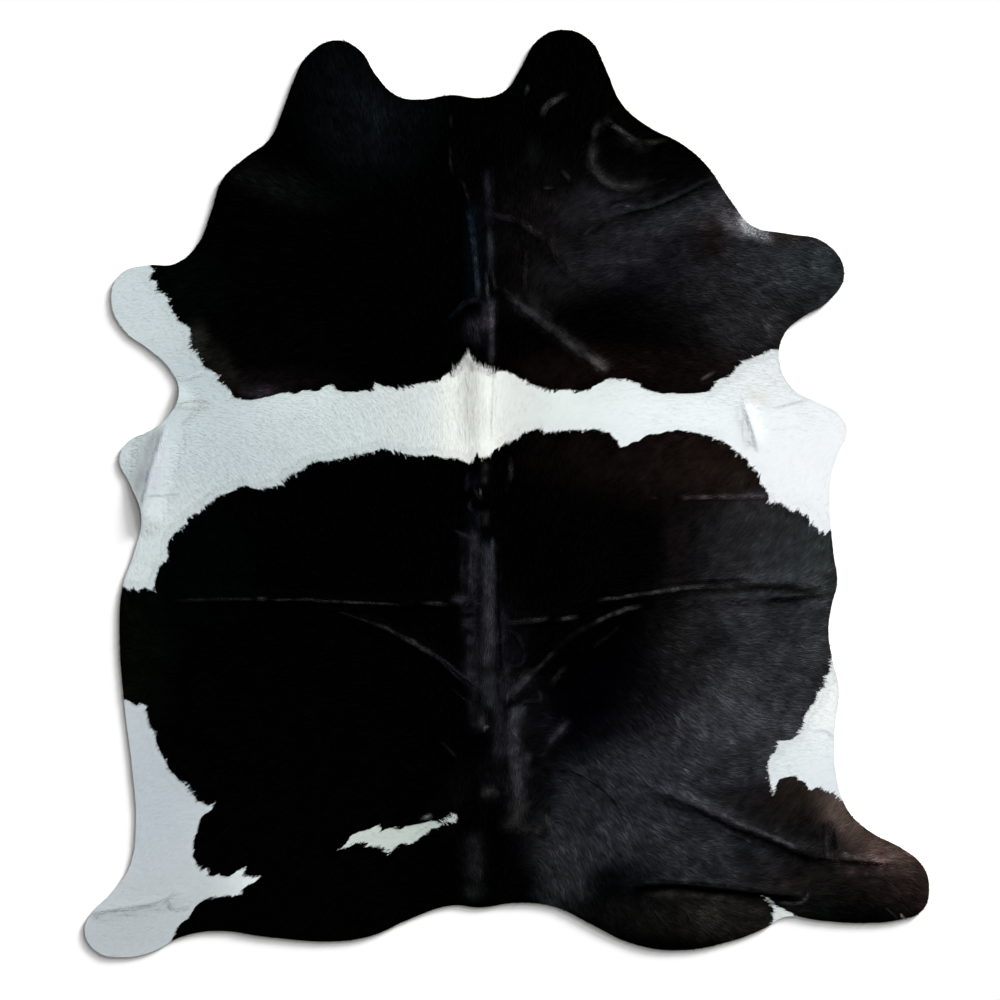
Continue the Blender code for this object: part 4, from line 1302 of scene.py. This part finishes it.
@dataclass
class CutLattice:
    """An even lattice of triangles, cut along the rug's outline.

    Lattice points close to the outline are moved onto it. Each triangle that the outline then
    crosses keeps its inner part, whose new corners lie where the distance to the outline is
    nothing on the crossed sides.
    """

    outline: Outline
    low: Array
    high: Array
    spacing: float
    snap: float = 0.30   # share of the spacing within which a point is moved
    points: Array = field(init=False)
    triangles: Whole = field(init=False)

    def build(self) -> CutLattice:
        """Works out the points and the triangles; every face turns anticlockwise from above."""
        margin = 2.0 * self.spacing
        origin = self.low - margin
        columns, rows = (int(math.ceil(x)) + 1 for x in (self.high - origin + margin) / self.spacing)
        x = origin[0] + np.arange(columns) * self.spacing
        y = origin[1] + np.arange(rows) * self.spacing
        grid = lattice(x, y)
        gap, place, _ = self.outline.segments.nearest(grid)
        depth = np.where(self.outline.segments.encloses(grid), gap, -gap)
        self.outline.depths = Field2D(origin, self.spacing, depth.reshape(rows, columns))
        moved = gap < self.snap * self.spacing
        grid[moved] = place[moved]
        depth[moved] = 0.0

        number = np.arange(rows * columns).reshape(rows, columns)
        a, b = number[:-1, :-1].ravel(), number[:-1, 1:].ravel()
        c, d = number[1:, 1:].ravel(), number[1:, :-1].ravel()
        even = (np.add.outer(np.arange(rows - 1), np.arange(columns - 1)) % 2 == 0).ravel()
        first = np.where(even[:, None], np.stack([a, b, c], 1), np.stack([a, b, d], 1))
        second = np.where(even[:, None], np.stack([a, c, d], 1), np.stack([b, c, d], 1))
        triangle = np.vstack([first, second])
        triangle = triangle[(depth[triangle] > 0).any(axis=1) | (depth[triangle] == 0).all(axis=1)]
        self.cut(grid, depth, triangle)
        return self

    def cut(self, grid: Array, depth: Array, triangle: Whole) -> None:
        """Keeps the inner part of each triangle, and numbers the points that are in use."""
        outside = depth[triangle] < 0
        on_edge = (depth[triangle] == 0).all(axis=1)
        level = triangle[on_edge]
        level = level[self.outline.segments.encloses(grid[level].mean(axis=1))]
        whole = triangle[~outside.any(axis=1) & ~on_edge]

        one_out = triangle[outside.sum(axis=1) == 1]
        turn = (depth[one_out] < 0).argmax(axis=1)
        a, b, c = (one_out[np.arange(len(one_out)), (turn + k) % 3] for k in (1, 2, 0))
        two_out = triangle[outside.sum(axis=1) == 2]
        turn = (depth[two_out] >= 0).argmax(axis=1)
        p, q, r = (two_out[np.arange(len(two_out)), (turn + k) % 3] for k in (0, 1, 2))

        sides = np.vstack([np.stack(pair, 1) for pair in ((b, c), (a, c), (p, q), (p, r))])
        sides, back = np.unique(sides, axis=0, return_inverse=True)
        back = back.reshape(-1)
        share = depth[sides[:, 0]] / (depth[sides[:, 0]] - depth[sides[:, 1]])
        crossing = grid[sides[:, 0]] + share[:, None] * (grid[sides[:, 1]] - grid[sides[:, 0]])
        name = np.where(depth[sides[:, 0]] == 0, sides[:, 0], len(grid) + np.arange(len(sides)))
        name = name[back]
        bc, ac, pq, pr = np.split(name, np.cumsum([len(b), len(a), len(p)]))
        parts = np.vstack([
            whole, level, np.stack([a, b, bc], 1), np.stack([a, bc, ac], 1),
            np.stack([p, pq, pr], 1),
        ])
        real = (parts[:, 0] != parts[:, 1]) & (parts[:, 1] != parts[:, 2])
        parts = parts[real & (parts[:, 0] != parts[:, 2])]
        used, parts = np.unique(parts, return_inverse=True)
        self.points = np.vstack([grid, crossing])[used]
        self.triangles = parts.reshape(-1, 3)


@dataclass
class Skin:
    """The tanned skin: one closed sheet with its creases, haired above and suede below."""

    outline: Outline
    relief: Relief
    markings: Markings
    colour: HairColour
    low: Array
    high: Array
    thickness: float = 0.0038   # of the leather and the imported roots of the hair
    spacing: float = 0.0125
    root_shade: float = 0.96    # painted shade: the white skin between the locks is a little darker than the white hair over it
    surface: Field2D = field(init=False)

    def build(self) -> Object:
        """The sheet: the cut lattice, a copy of it that lies lower, and the cut edge between.

        The underside is the creases' rise, and the top is that plus the thickness and a soft
        unevenness of the skin.
        """
        sheet = CutLattice(self.outline, self.low, self.high, self.spacing).build()
        ground, top_faces = sheet.points, sheet.triangles
        rise = self.relief.rise(ground)
        count = len(ground)
        top = np.column_stack([ground, rise + self.thickness + self.relief.uneven(ground)])
        under = np.column_stack([ground, rise])
        a, b = lone_sides(top_faces).T
        walls = np.vstack([np.stack([a, a + count, b + count], 1), np.stack([a, b + count, b], 1)])
        faces = np.vstack([top_faces, top_faces[:, ::-1] + count, walls])
        skin = new_piece("skin", np.vstack([top, under]), faces,
                         [SkinFinish().material(), SuedeFinish().material()])
        mesh = skin.data
        slots = np.ones(len(faces), np.int32)
        slots[: len(top_faces)] = 0
        mesh.polygons.foreach_set("material_index", slots)
        self.keep_surface()
        self.light_by(mesh, ground, top_faces, np.stack([a, b], axis=1))
        both = np.vstack([ground, ground])
        depth = np.tile(self.markings.depth(ground), 2)
        layer = mesh.attributes.new(MARKING, "FLOAT", "POINT")
        layer.data.foreach_set("value", depth.astype(np.float32))
        paint(mesh, BLACK_SHADE, self.colour.reflectance(both, Coat.BLACK))
        # painted shade on the white roots
        paint(mesh, WHITE_SHADE, self.root_shade * self.colour.reflectance(both, Coat.WHITE))
        return skin

    def light_by(self, mesh: Mesh, ground: Array, top_faces: Whole, rim: Whole) -> None:
        """Normals for each face's corners: soft on both sides, square on the cut edge.

        The haired side shows as little of the slope as the white hair on it does.
        """
        slope = self.surface.slope(ground)
        follow = Coat.WHITE.value.follow
        top = np.column_stack([-follow * slope, np.ones(len(ground))])[top_faces]
        under = np.column_stack([slope, -np.ones(len(ground))])[top_faces[:, ::-1]]
        along = ground[rim[:, 1]] - ground[rim[:, 0]]
        out = np.column_stack([along[:, 1], -along[:, 0], np.zeros(len(along))])
        walls = np.repeat(out[:, None, :], 3, axis=1)
        set_normals(mesh, np.vstack([top, under, walls, walls]).reshape(-1, 3), "CORNER")
        self.split_at(mesh, np.vstack([rim, rim + len(ground)]))

    @staticmethod
    def split_at(mesh: Mesh, sides: Whole) -> None:
        """Marks edges as sharp, so that the faces on their two sides keep their own normals."""
        ends = np.empty(2 * len(mesh.edges), np.int32)
        mesh.edges.foreach_get("vertices", ends)
        count = len(mesh.vertices)
        edge, sharp = np.sort(ends.reshape(-1, 2), axis=1), np.sort(sides, axis=1)
        chosen = np.isin(edge[:, 0].astype(np.int64) * count + edge[:, 1],
                         sharp[:, 0] * count + sharp[:, 1])
        layer = mesh.attributes.new("sharp_edge", "BOOLEAN", "EDGE")
        layer.data.foreach_set("value", chosen)

    def keep_surface(self) -> None:
        """Keeps the height of the top on the lattice, for the hair to stand on."""
        base = self.outline.depths
        rows, columns = base.values.shape
        x = base.low[0] + np.arange(columns) * self.spacing
        y = base.low[1] + np.arange(rows) * self.spacing
        grid = lattice(x, y)
        height = self.relief.rise(grid) + self.thickness + self.relief.uneven(grid)
        self.surface = Field2D(base.low, self.spacing, height.reshape(rows, columns))


@dataclass(frozen=True)
class LockStyle:
    """The size and habit of one kind of lock, in metres and degrees."""

    length: float
    width: float
    scatter: float             # how far its direction strays
    overhang: float = 0.0008   # how far its tip may reach past the rug's edge
    spread: float = 0.0        # extra difference in tone from lock to lock
    bulk: float = 1.0          # factor on the height of its back and its tip
    sink: float = 0.0004       # how deep the root sits in the skin
    fine: bool = True          # whether it shows the narrow streaks


@dataclass
class Fur:
    """Everything that a lock needs to know about the place where it grows."""

    skin: Skin
    lie: HairLie
    colour_at: float = 0.70   # share of its length at which a lock's marking is read
    spike: float = 0.0080     # how far clumps of hair reach over the edge of their marking
    spike_width: float = 0.0030   # about the width of such a clump
    stray: float = 0.0013     # how far single locks differ in that
    back_at: float = 0.15     # share of its length at which its back is highest
    bridge: float = 0.0003    # how far a lock may stand off the skin under its middle
    tilt_length: float = 0.019    # length over which the light sees a lock rise by its lift
    waves: tuple[Pair, ...] = ((0.16, 0.03), (0.14, 0.011))   # turn of the lie, in radians, and size
    lengths: Pair = (0.7, 1.25)    # least and most share of the style's length
    widths: Pair = (0.75, 1.25)    # the same of its width,
    ridges: Pair = (0.7, 1.3)      # of its ridge
    lifts: Pair = (0.45, 1.3)      # and of its lift

    def locks(self, name: str, roots: Array, style: LockStyle, material: Material, seed: int,
              black: Flags | None = None, angle: Array | None = None) -> Object:
        """A piece of many locks, each a closed body with four faces.

        A lock has two corners at its root, one corner on its back, and its tip. From the root r,
        with d the direction and n across it, they are r + n w/2, r - n w/2, r + 0.15 L d raised
        by the ridge, and r + L d raised by the lift.

        Args:
            name: the piece's name.
            roots: where the locks grow.
            style: their size and habit.
            material: the hair finish.
            seed: for the random part of each lock.
            black: which locks are black, or None to read the markings.
            angle: their directions, or None to follow the lie of the hair.

        Returns:
            The new object.
        """
        rng = np.random.default_rng(seed)
        count = len(roots)
        if angle is None:
            angle = self.lie.angle(roots)
            for number, (turn, size) in enumerate(self.waves, start=1):
                angle += turn * soft_noise(roots, size, seed + number)
        angle = angle + np.radians(style.scatter) * rng.standard_normal(count)
        along = np.column_stack([np.cos(angle), np.sin(angle)])
        side = np.column_stack([-along[:, 1], along[:, 0]])
        length = style.length * rng.uniform(*self.lengths, count)
        length = self.kept_in(roots, along, length, style.overhang)
        width = style.width * rng.uniform(*self.widths, count)
        length = self.kept_flat(roots, along, length)
        if black is None:
            black, start = self.marked(roots, along, length, rng)
            roots = roots + along * start[:, None]
            length = length - start

        body = {trait: np.where(black, getattr(Coat.BLACK.value, trait),
                                getattr(Coat.WHITE.value, trait))
                for trait in ("ridge", "lift", "lean", "roll", "follow")}
        ridge = style.bulk * body["ridge"] * rng.uniform(*self.ridges, count)
        lift = style.bulk * body["lift"] * rng.uniform(*self.lifts, count)
        across = side * (width / 2)[:, None]
        ground = np.stack([
            roots + across, roots - across,
            roots + along * (self.back_at * length)[:, None], roots + along * length[:, None],
        ], axis=1)
        height = self.skin.surface.at(ground.reshape(-1, 2)).reshape(count, 4)
        height += np.stack([np.full(count, -style.sink)] * 2 + [ridge, lift], axis=1)
        corners = np.dstack([ground, height])
        faces = np.array([[0, 2, 3], [1, 3, 2], [0, 3, 1], [0, 1, 2]])
        faces = (faces[None] + 4 * np.arange(count)[:, None, None]).reshape(-1, 3)
        obj = new_piece(name, corners.reshape(-1, 3), faces, [material])

        slope = self.skin.surface.slope(roots) * body["follow"][:, None]
        turned = np.tan(np.radians(body["roll"])) * rng.standard_normal(count)
        lean = np.tan(np.radians(body["lean"]))
        sideways = np.stack([turned + lean, turned - lean, turned, turned], axis=1)
        backward = lift / (style.bulk * self.tilt_length)
        level = side[:, None, :] * sideways[:, :, None] - along[:, None, :] * backward[:, None, None]
        level -= slope[:, None, :]
        set_normals(obj.data, np.dstack([level, np.ones((count, 4))]).reshape(-1, 3), "POINT")
        self.dress(obj.data, ground, along, black, style, rng)
        self.lay_out(obj.data, count)
        return obj

    def kept_in(self, roots: Array, along: Array, length: Array, overhang: float) -> Array:
        """Lengths cut so that no tip is further than the overhang past the rug's edge."""
        inside = self.skin.outline.distance(roots)
        at_tip = self.skin.outline.distance(roots + along * length[:, None])
        over = at_tip < -overhang
        share = (inside + overhang) / np.maximum(inside - at_tip, 1e-6)
        return np.where(over, length * np.clip(share, 0.25, 1.0), length)

    def kept_flat(self, roots: Array, along: Array, length: Array) -> Array:
        """Lengths cut so that no lock bridges a hollow or cuts through a crease.

        The height of a lock's chord over the skin's middle grows with the square of its length.
        """
        height = self.skin.surface.at
        step = along * length[:, None]
        bridged = np.abs(height(roots + step / 2) - (height(roots) + height(roots + step)) / 2)
        return length * np.clip(np.sqrt(self.bridge / np.maximum(bridged, 1e-9)), 0.3, 1.0)

    def marked(self, roots: Array, along: Array, length: Array, rng: np.random.Generator
               ) -> tuple[Flags, Array]:
        """Which locks are black, and how far each moves on to start in its own marking.

        The edge of a marking is moved along the hair by spike (0.65 - 2.4 |n|), with n a noise
        drawn out along the hair, so it comes to sharp points. A lock's marking is read near its
        tip. If its root lies in the other one, the place where it crosses is found by halving.

        Args:
            roots: where the locks grow.
            along: their directions.
            length: their lengths.
            rng: for how far single locks stray.

        Returns:
            Whether each lock is black, and the length from its root to its own marking.
        """
        black = self.skin.markings.black
        angle = self.lie.angle(roots)
        flow = np.column_stack([np.cos(angle), np.sin(angle)])
        clump = np.abs(streaks(roots, flow, self.spike_width, SEED + 3))
        reach = self.spike * (0.65 - 2.4 * clump) * (0.7 + 0.5 * soft_noise(roots, 0.050, SEED + 4))
        reach += self.stray * rng.standard_normal(len(roots))
        moved = roots - flow * reach[:, None]
        found = black(moved + along * (self.colour_at * length)[:, None])
        low, high = np.zeros(len(roots)), self.colour_at * length
        crosses = np.flatnonzero(black(moved) != found)
        for _ in range(5):
            middle = (low[crosses] + high[crosses]) / 2
            own = black(moved[crosses] + along[crosses] * middle[:, None]) == found[crosses]
            high[crosses[own]] = middle[own]
            low[crosses[~own]] = middle[~own]
        start = np.zeros(len(roots))
        start[crosses] = high[crosses]
        return found, start

    def dress(self, mesh: Mesh, ground: Array, along: Array, black: Flags,
              style: LockStyle, rng: np.random.Generator) -> None:
        """Colours each lock: its root, back and tip by their own places, and one random tone."""
        count = len(ground)
        tones = self.skin.colour
        every = np.empty((count, 4, 3))
        middle = ground[:, :2].mean(axis=1)
        stray, strayed = rng.standard_normal(count), np.empty(count)
        for coat, chosen in ((Coat.BLACK, black), (Coat.WHITE, ~black)):
            if not chosen.any():
                continue
            body = coat.value
            places = np.stack([middle[chosen], ground[chosen, 2], ground[chosen, 3]], axis=1)
            colour = tones.reflectance(places.reshape(-1, 2), coat, style.fine).reshape(-1, 3, 3)
            every[chosen] = colour[:, [0, 0, 1, 2]]
            at, d = ground[chosen, 2], along[chosen]
            mottle = 0.3 * streaks(at, d, 0.005, SEED + 5) + 0.7 * soft_noise(at, 0.010, SEED + 6)
            mottle += 0.8 * soft_noise(at, 0.022, SEED + 7) + 0.4 * soft_noise(at, 0.060, SEED + 8)
            strayed[chosen] = body.mottle * mottle + (body.uneven + style.spread) * stray[chosen]
            # painted shade: the roots are darker than the back and the tip
            every[chosen] *= np.array(body.ends)[None, :, None]
        every *= np.exp(np.clip(strayed, -1.2, 0.9))[:, None, None]
        paint(mesh, LOCK_COLOUR, np.clip(every, 0.0, 0.95).reshape(-1, 3))

    @staticmethod
    def lay_out(mesh: Mesh, count: int) -> None:
        """A UV map with a small square for each lock: its root at the foot, its tip on top."""
        side = int(math.ceil(math.sqrt(count)))
        order = np.arange(count)
        column, row = order % side, order // side
        u = np.array([0.2, 0.8, 0.5, 0.5])
        v = np.array([0.15, 0.15, 0.4, 0.85])
        place = np.stack([(column[:, None] + u) / side, (row[:, None] + v) / side], axis=-1)
        vertex = np.empty(len(mesh.loops), np.int32)
        mesh.loops.foreach_get("vertex_index", vertex)
        layer = mesh.uv_layers.new(name="lock_squares")
        layer.uv.foreach_set("vector", place.reshape(-1, 2)[vertex].astype(np.float32).ravel())


@dataclass
class HairCoat:
    """The whole coat: the ground coat in six pieces, and finer locks where it shows."""

    fur: Fur
    picture: Picture
    ground_spacing: float = 0.0047
    ground_margin: float = 0.0008   # from the rug's edge to the nearest roots
    ground: LockStyle = LockStyle(0.019, 0.0027, 11.0, fine=False)
    fine_spacing: float = 0.0026
    fine_margin: float = 0.0004
    edge_band: float = 0.011        # on both sides of the markings' edges
    edge: LockStyle = LockStyle(0.014, 0.0016, 10.0)
    rim_band: float = 0.008         # along the rug's edge
    rim: LockStyle = LockStyle(0.011, 0.0015, 18.0)
    widest: float = 5.2           # pixels: half-width up to which a streak has locks of its own
    line_spacing: float = 0.0027
    line_reach: float = 0.0024    # past a streak's half-width
    line_margin: float = 0.004    # from the rug's edge
    line: LockStyle = LockStyle(0.0095, 0.0022, 3.0, bulk=1.7)
    tuft_spacing: float = 0.0036
    tuft: LockStyle = LockStyle(0.030, 0.0013, 7.0, bulk=1.3, spread=0.06, fine=False)
    fan_spacing: float = 0.0031
    fan_depth: Pair = (0.006, 0.018)   # from the marking's edge to the fan's roots
    fan: LockStyle = LockStyle(0.021, 0.0011, 11.0, bulk=6.0, spread=0.15)
    glint_margin: float = 0.001
    glint: LockStyle = LockStyle(0.005, 0.0014, 35.0, bulk=2.0, spread=1.1)
    spine_x: float = 482.0        # pixels: the line that parts left from right
    cross_y: Pair = (425.0, 640.0)   # pixels: front from middle from rear

    def build(self) -> list[Object]:
        """Builds every piece of the coat."""
        rng = np.random.default_rng(SEED)
        skin = self.fur.skin
        finish = HairFinish("short_hair").material()
        roots = scattered(skin.low, skin.high, self.ground_spacing, rng)
        roots = roots[skin.outline.distance(roots) > self.ground_margin]
        pieces = [
            self.fur.locks(name, roots[chosen], self.ground, finish, SEED + 10 * number)
            for number, (name, chosen) in enumerate(self.regions(roots).items(), start=1)
        ]

        fine = scattered(skin.low, skin.high, self.fine_spacing, rng)
        depth = skin.outline.distance(fine)
        grown = depth > self.fine_margin
        fine, depth = fine[grown], depth[grown]
        at_rim = depth < self.rim_band
        pieces.append(self.fur.locks("coat_rim", fine[at_rim], self.rim, finish, SEED + 80))
        rest = fine[~at_rim]
        gap, _, _ = skin.markings.edges.nearest(rest)
        pieces.append(self.fur.locks("coat_marking_edges", rest[gap < self.edge_band], self.edge,
                                     finish, SEED + 90))
        roots, angle = self.beside_streaks(rng)
        pieces.append(self.fur.locks("coat_streaks", roots, self.line, finish, SEED + 100,
                                     angle=angle))
        return pieces + [self.spine_tuft(finish), self.tuft_fan(finish), self.glints(finish)]

    def regions(self, roots: Array) -> dict[str, Flags]:
        """Which roots each piece of the ground coat has: three rows, on both sides of the spine."""
        spine, upper = self.picture.metres((self.spine_x, self.cross_y[0]))
        _, lower = self.picture.metres((self.spine_x, self.cross_y[1]))
        x, y = roots.T
        rows = {"front": y > upper, "middle": (y <= upper) & (y > lower), "rear": y <= lower}
        sides = {"left": x <= spine, "right": x > spine}
        return {f"coat_{row}_{side}": across & beside
                for row, across in rows.items() for side, beside in sides.items()}

    def beside_streaks(self, rng: np.random.Generator) -> tuple[Array, Array]:
        """Places inside the rug on or close beside a streak, and the streak's angle there.

        Of its two ways, the angle takes the one that is nearer to the lie of the hair.
        """
        skin = self.fur.skin
        points = scattered(skin.low, skin.high, self.line_spacing, rng)
        closest, angle = np.full(len(points), np.inf), np.zeros(len(points))
        for line in Coat.BLACK.value.lines + Coat.WHITE.value.lines:
            if line.half_width <= self.widest:
                band = line.half_width * self.picture.pixel + self.line_reach
                path = self.picture.path(line.route)
                gap, run, near = near_to(points, path, band)
                better = gap < np.minimum(closest[near], band)
                chosen = np.flatnonzero(near)[better]
                closest[chosen] = gap[better]
                angle[chosen] = path.heading(run[better])
        chosen = np.isfinite(closest) & (skin.outline.distance(points) > self.line_margin)
        points, angle = points[chosen], angle[chosen]
        against = np.cos(angle - self.fur.lie.angle(points)) < 0.0
        return points, angle + math.pi * against

    def spine_tuft(self, finish: Material) -> Object:
        """The longer white hair on the spine between the two patches, in thin strands."""
        rng = np.random.default_rng(SEED + 110)
        black = self.fur.skin.markings.black
        low, high = (self.picture.metres(corner) for corner in TUFT)
        roots = scattered(low, high, self.tuft_spacing, rng)
        middle = (low[0] + high[0]) / 2
        bulge = 1.0 - ((roots[:, 0] - middle) / (high[0] - middle)) ** 2
        roots = roots[rng.uniform(0.0, 1.0, len(roots)) < np.clip(bulge * 1.6, 0.0, 1.0)]
        roots = roots[~black(roots + np.array([0.0, self.tuft.length]))]
        roots = roots[~black(roots)]
        return self.fur.locks("coat_spine_tuft", roots, self.tuft, finish, SEED + 111,
                              black=np.zeros(len(roots), bool))

    def tuft_fan(self, finish: Material) -> Object:
        """Single white strands from the top of the tuft, over the black hair above it."""
        rng = np.random.default_rng(SEED + 115)
        low, high = (self.picture.metres(corner) for corner in TUFT_FAN)
        roots = scattered(low, high, self.fan_spacing, rng)
        depth = -self.fur.skin.markings.depth(roots)
        roots = roots[(depth > self.fan_depth[0]) & (depth < self.fan_depth[1])]
        return self.fur.locks("coat_tuft_fan", roots, self.fan, finish, SEED + 116,
                              black=np.zeros(len(roots), bool))

    def glints(self, finish: Material) -> Object:
        """Short fine locks of very unlike tones, a painted highlight where the picture shows the hair
        sparkle.
        """
        rng = np.random.default_rng(SEED + 120)
        places = []
        for x, y, wide, high, turn, number in GLINTS:
            spot = rng.standard_normal((number, 2)) * np.array([wide, high]) * 0.5
            c, s = math.cos(math.radians(turn)), math.sin(math.radians(turn))
            spot = spot @ np.array([[c, s], [-s, c]])
            places.append(self.picture.metres((x, y)) + spot * self.picture.pixel)
        roots = np.vstack(places)
        roots = roots[self.fur.skin.outline.distance(roots) > self.glint_margin]
        return self.fur.locks("coat_glints", roots, self.glint, finish, SEED + 121)


# -------------------- studio


class Lamp(NamedTuple):
    """A distant soft lamp. Angles are degrees; the turn goes from +X towards +Y."""

    name: str
    power: float
    height: float
    turn: float
    size: float


LAMPS = (
    Lamp("raking", 7.83, 12.0, 47.0, 10.0),  # draws the shadow along the rug's lower edges
    Lamp("middle", 2.07, 25.0, 47.0, 17.0),  # softens that shadow
    Lamp("high", 0.73, 55.0, 50.0, 40.0),
)


@dataclass
class Studio:
    """A plain pale floor, soft light from the upper right, and a camera straight above."""

    picture: Picture
    lens: float = 100.0
    sensor: float = 36.0
    floor_side: float = 14.0
    floor_drop: float = 0.0006   # below the rug's underside
    dome: float = 0.11           # light from all round

    def build(self) -> None:
        """Builds the floor, the lights and the camera."""
        self.floor()
        for lamp in LAMPS:
            self.sun(lamp)
        world = bpy.data.worlds.new("soft_dome")
        world.use_nodes = True
        world.node_tree.nodes["Background"].inputs["Color"].default_value = (1.0, 1.0, 1.0, 1.0)
        world.node_tree.nodes["Background"].inputs["Strength"].default_value = self.dome
        bpy.context.scene.world = world
        bpy.context.scene.view_settings.view_transform = "Standard"
        self.camera()

    def floor(self) -> None:
        """A square of pale floor just under the rug."""
        half = self.floor_side / 2
        corners = np.array([[-half, -half], [half, -half], [half, half], [-half, half]])
        points = np.column_stack([corners, np.full(4, -self.floor_drop)])
        nodes = Nodes("pale_floor")
        nodes.shader.inputs["Base Color"].default_value = (0.93, 0.93, 0.93, 1.0)
        nodes.constant(Roughness=0.9, Specular_IOR_Level=0.1)
        floor = new_piece("floor", points, np.array([[0, 1, 2, 3]]), [nodes.material])

    @staticmethod
    def sun(lamp: Lamp) -> None:
        """Adds one of the lamps, which shines from its height and turn to the middle."""
        data = bpy.data.lights.new(lamp.name, "SUN")
        data.energy = lamp.power
        data.angle = math.radians(lamp.size)
        obj = bpy.data.objects.new(lamp.name, data)
        up, turn = math.radians(lamp.height), math.radians(lamp.turn)
        toward = Vector((math.cos(up) * math.cos(turn), math.cos(up) * math.sin(turn),
                         math.sin(up)))
        obj.rotation_mode = "QUATERNION"
        obj.rotation_quaternion = toward.to_track_quat("Z", "Y")
        bpy.context.scene.collection.objects.link(obj)

    def camera(self) -> None:
        """A long lens over the picture's middle, as high as makes the frame as wide as it."""
        data = bpy.data.cameras.new("camera")
        data.lens, data.sensor_width = self.lens, self.sensor
        height = self.picture.side * self.picture.pixel * self.lens / self.sensor
        middle = self.picture.metres((self.picture.side / 2, self.picture.side / 2))
        camera = bpy.data.objects.new("camera", data)
        camera.location = (middle[0], middle[1], height)
        bpy.context.scene.collection.objects.link(camera)
        bpy.context.scene.camera = camera


def main() -> None:
    """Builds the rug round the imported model, and the studio."""
    logging.basicConfig(level=logging.INFO, format="%(name)s: %(message)s")
    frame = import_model()
    low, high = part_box(NODE)
    picture = Picture((low.x, low.y), (high.x, high.y))
    outline = Outline(frame["nodes"][NODE])
    relief = Relief(picture)
    skin = Skin(outline, relief, Markings(picture), HairColour(picture),
                np.array(low[:2]), np.array(high[:2]))

    hide = skin.build()
    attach(hide, "root")
    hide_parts(NODE)
    LOG.info("%s: %d faces", hide.name, len(hide.data.polygons))
    coat = HairCoat(Fur(skin, HairLie(picture)), picture).build()
    for piece in coat:
        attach(piece, "root")
        LOG.info("%s: %d faces", piece.name, len(piece.data.polygons))
    total = sum(len(piece.data.polygons) for piece in [hide, *coat])
    LOG.info("all pieces: %d faces", total)

    Studio(picture).build()


if __name__ == "__main__":
    main()
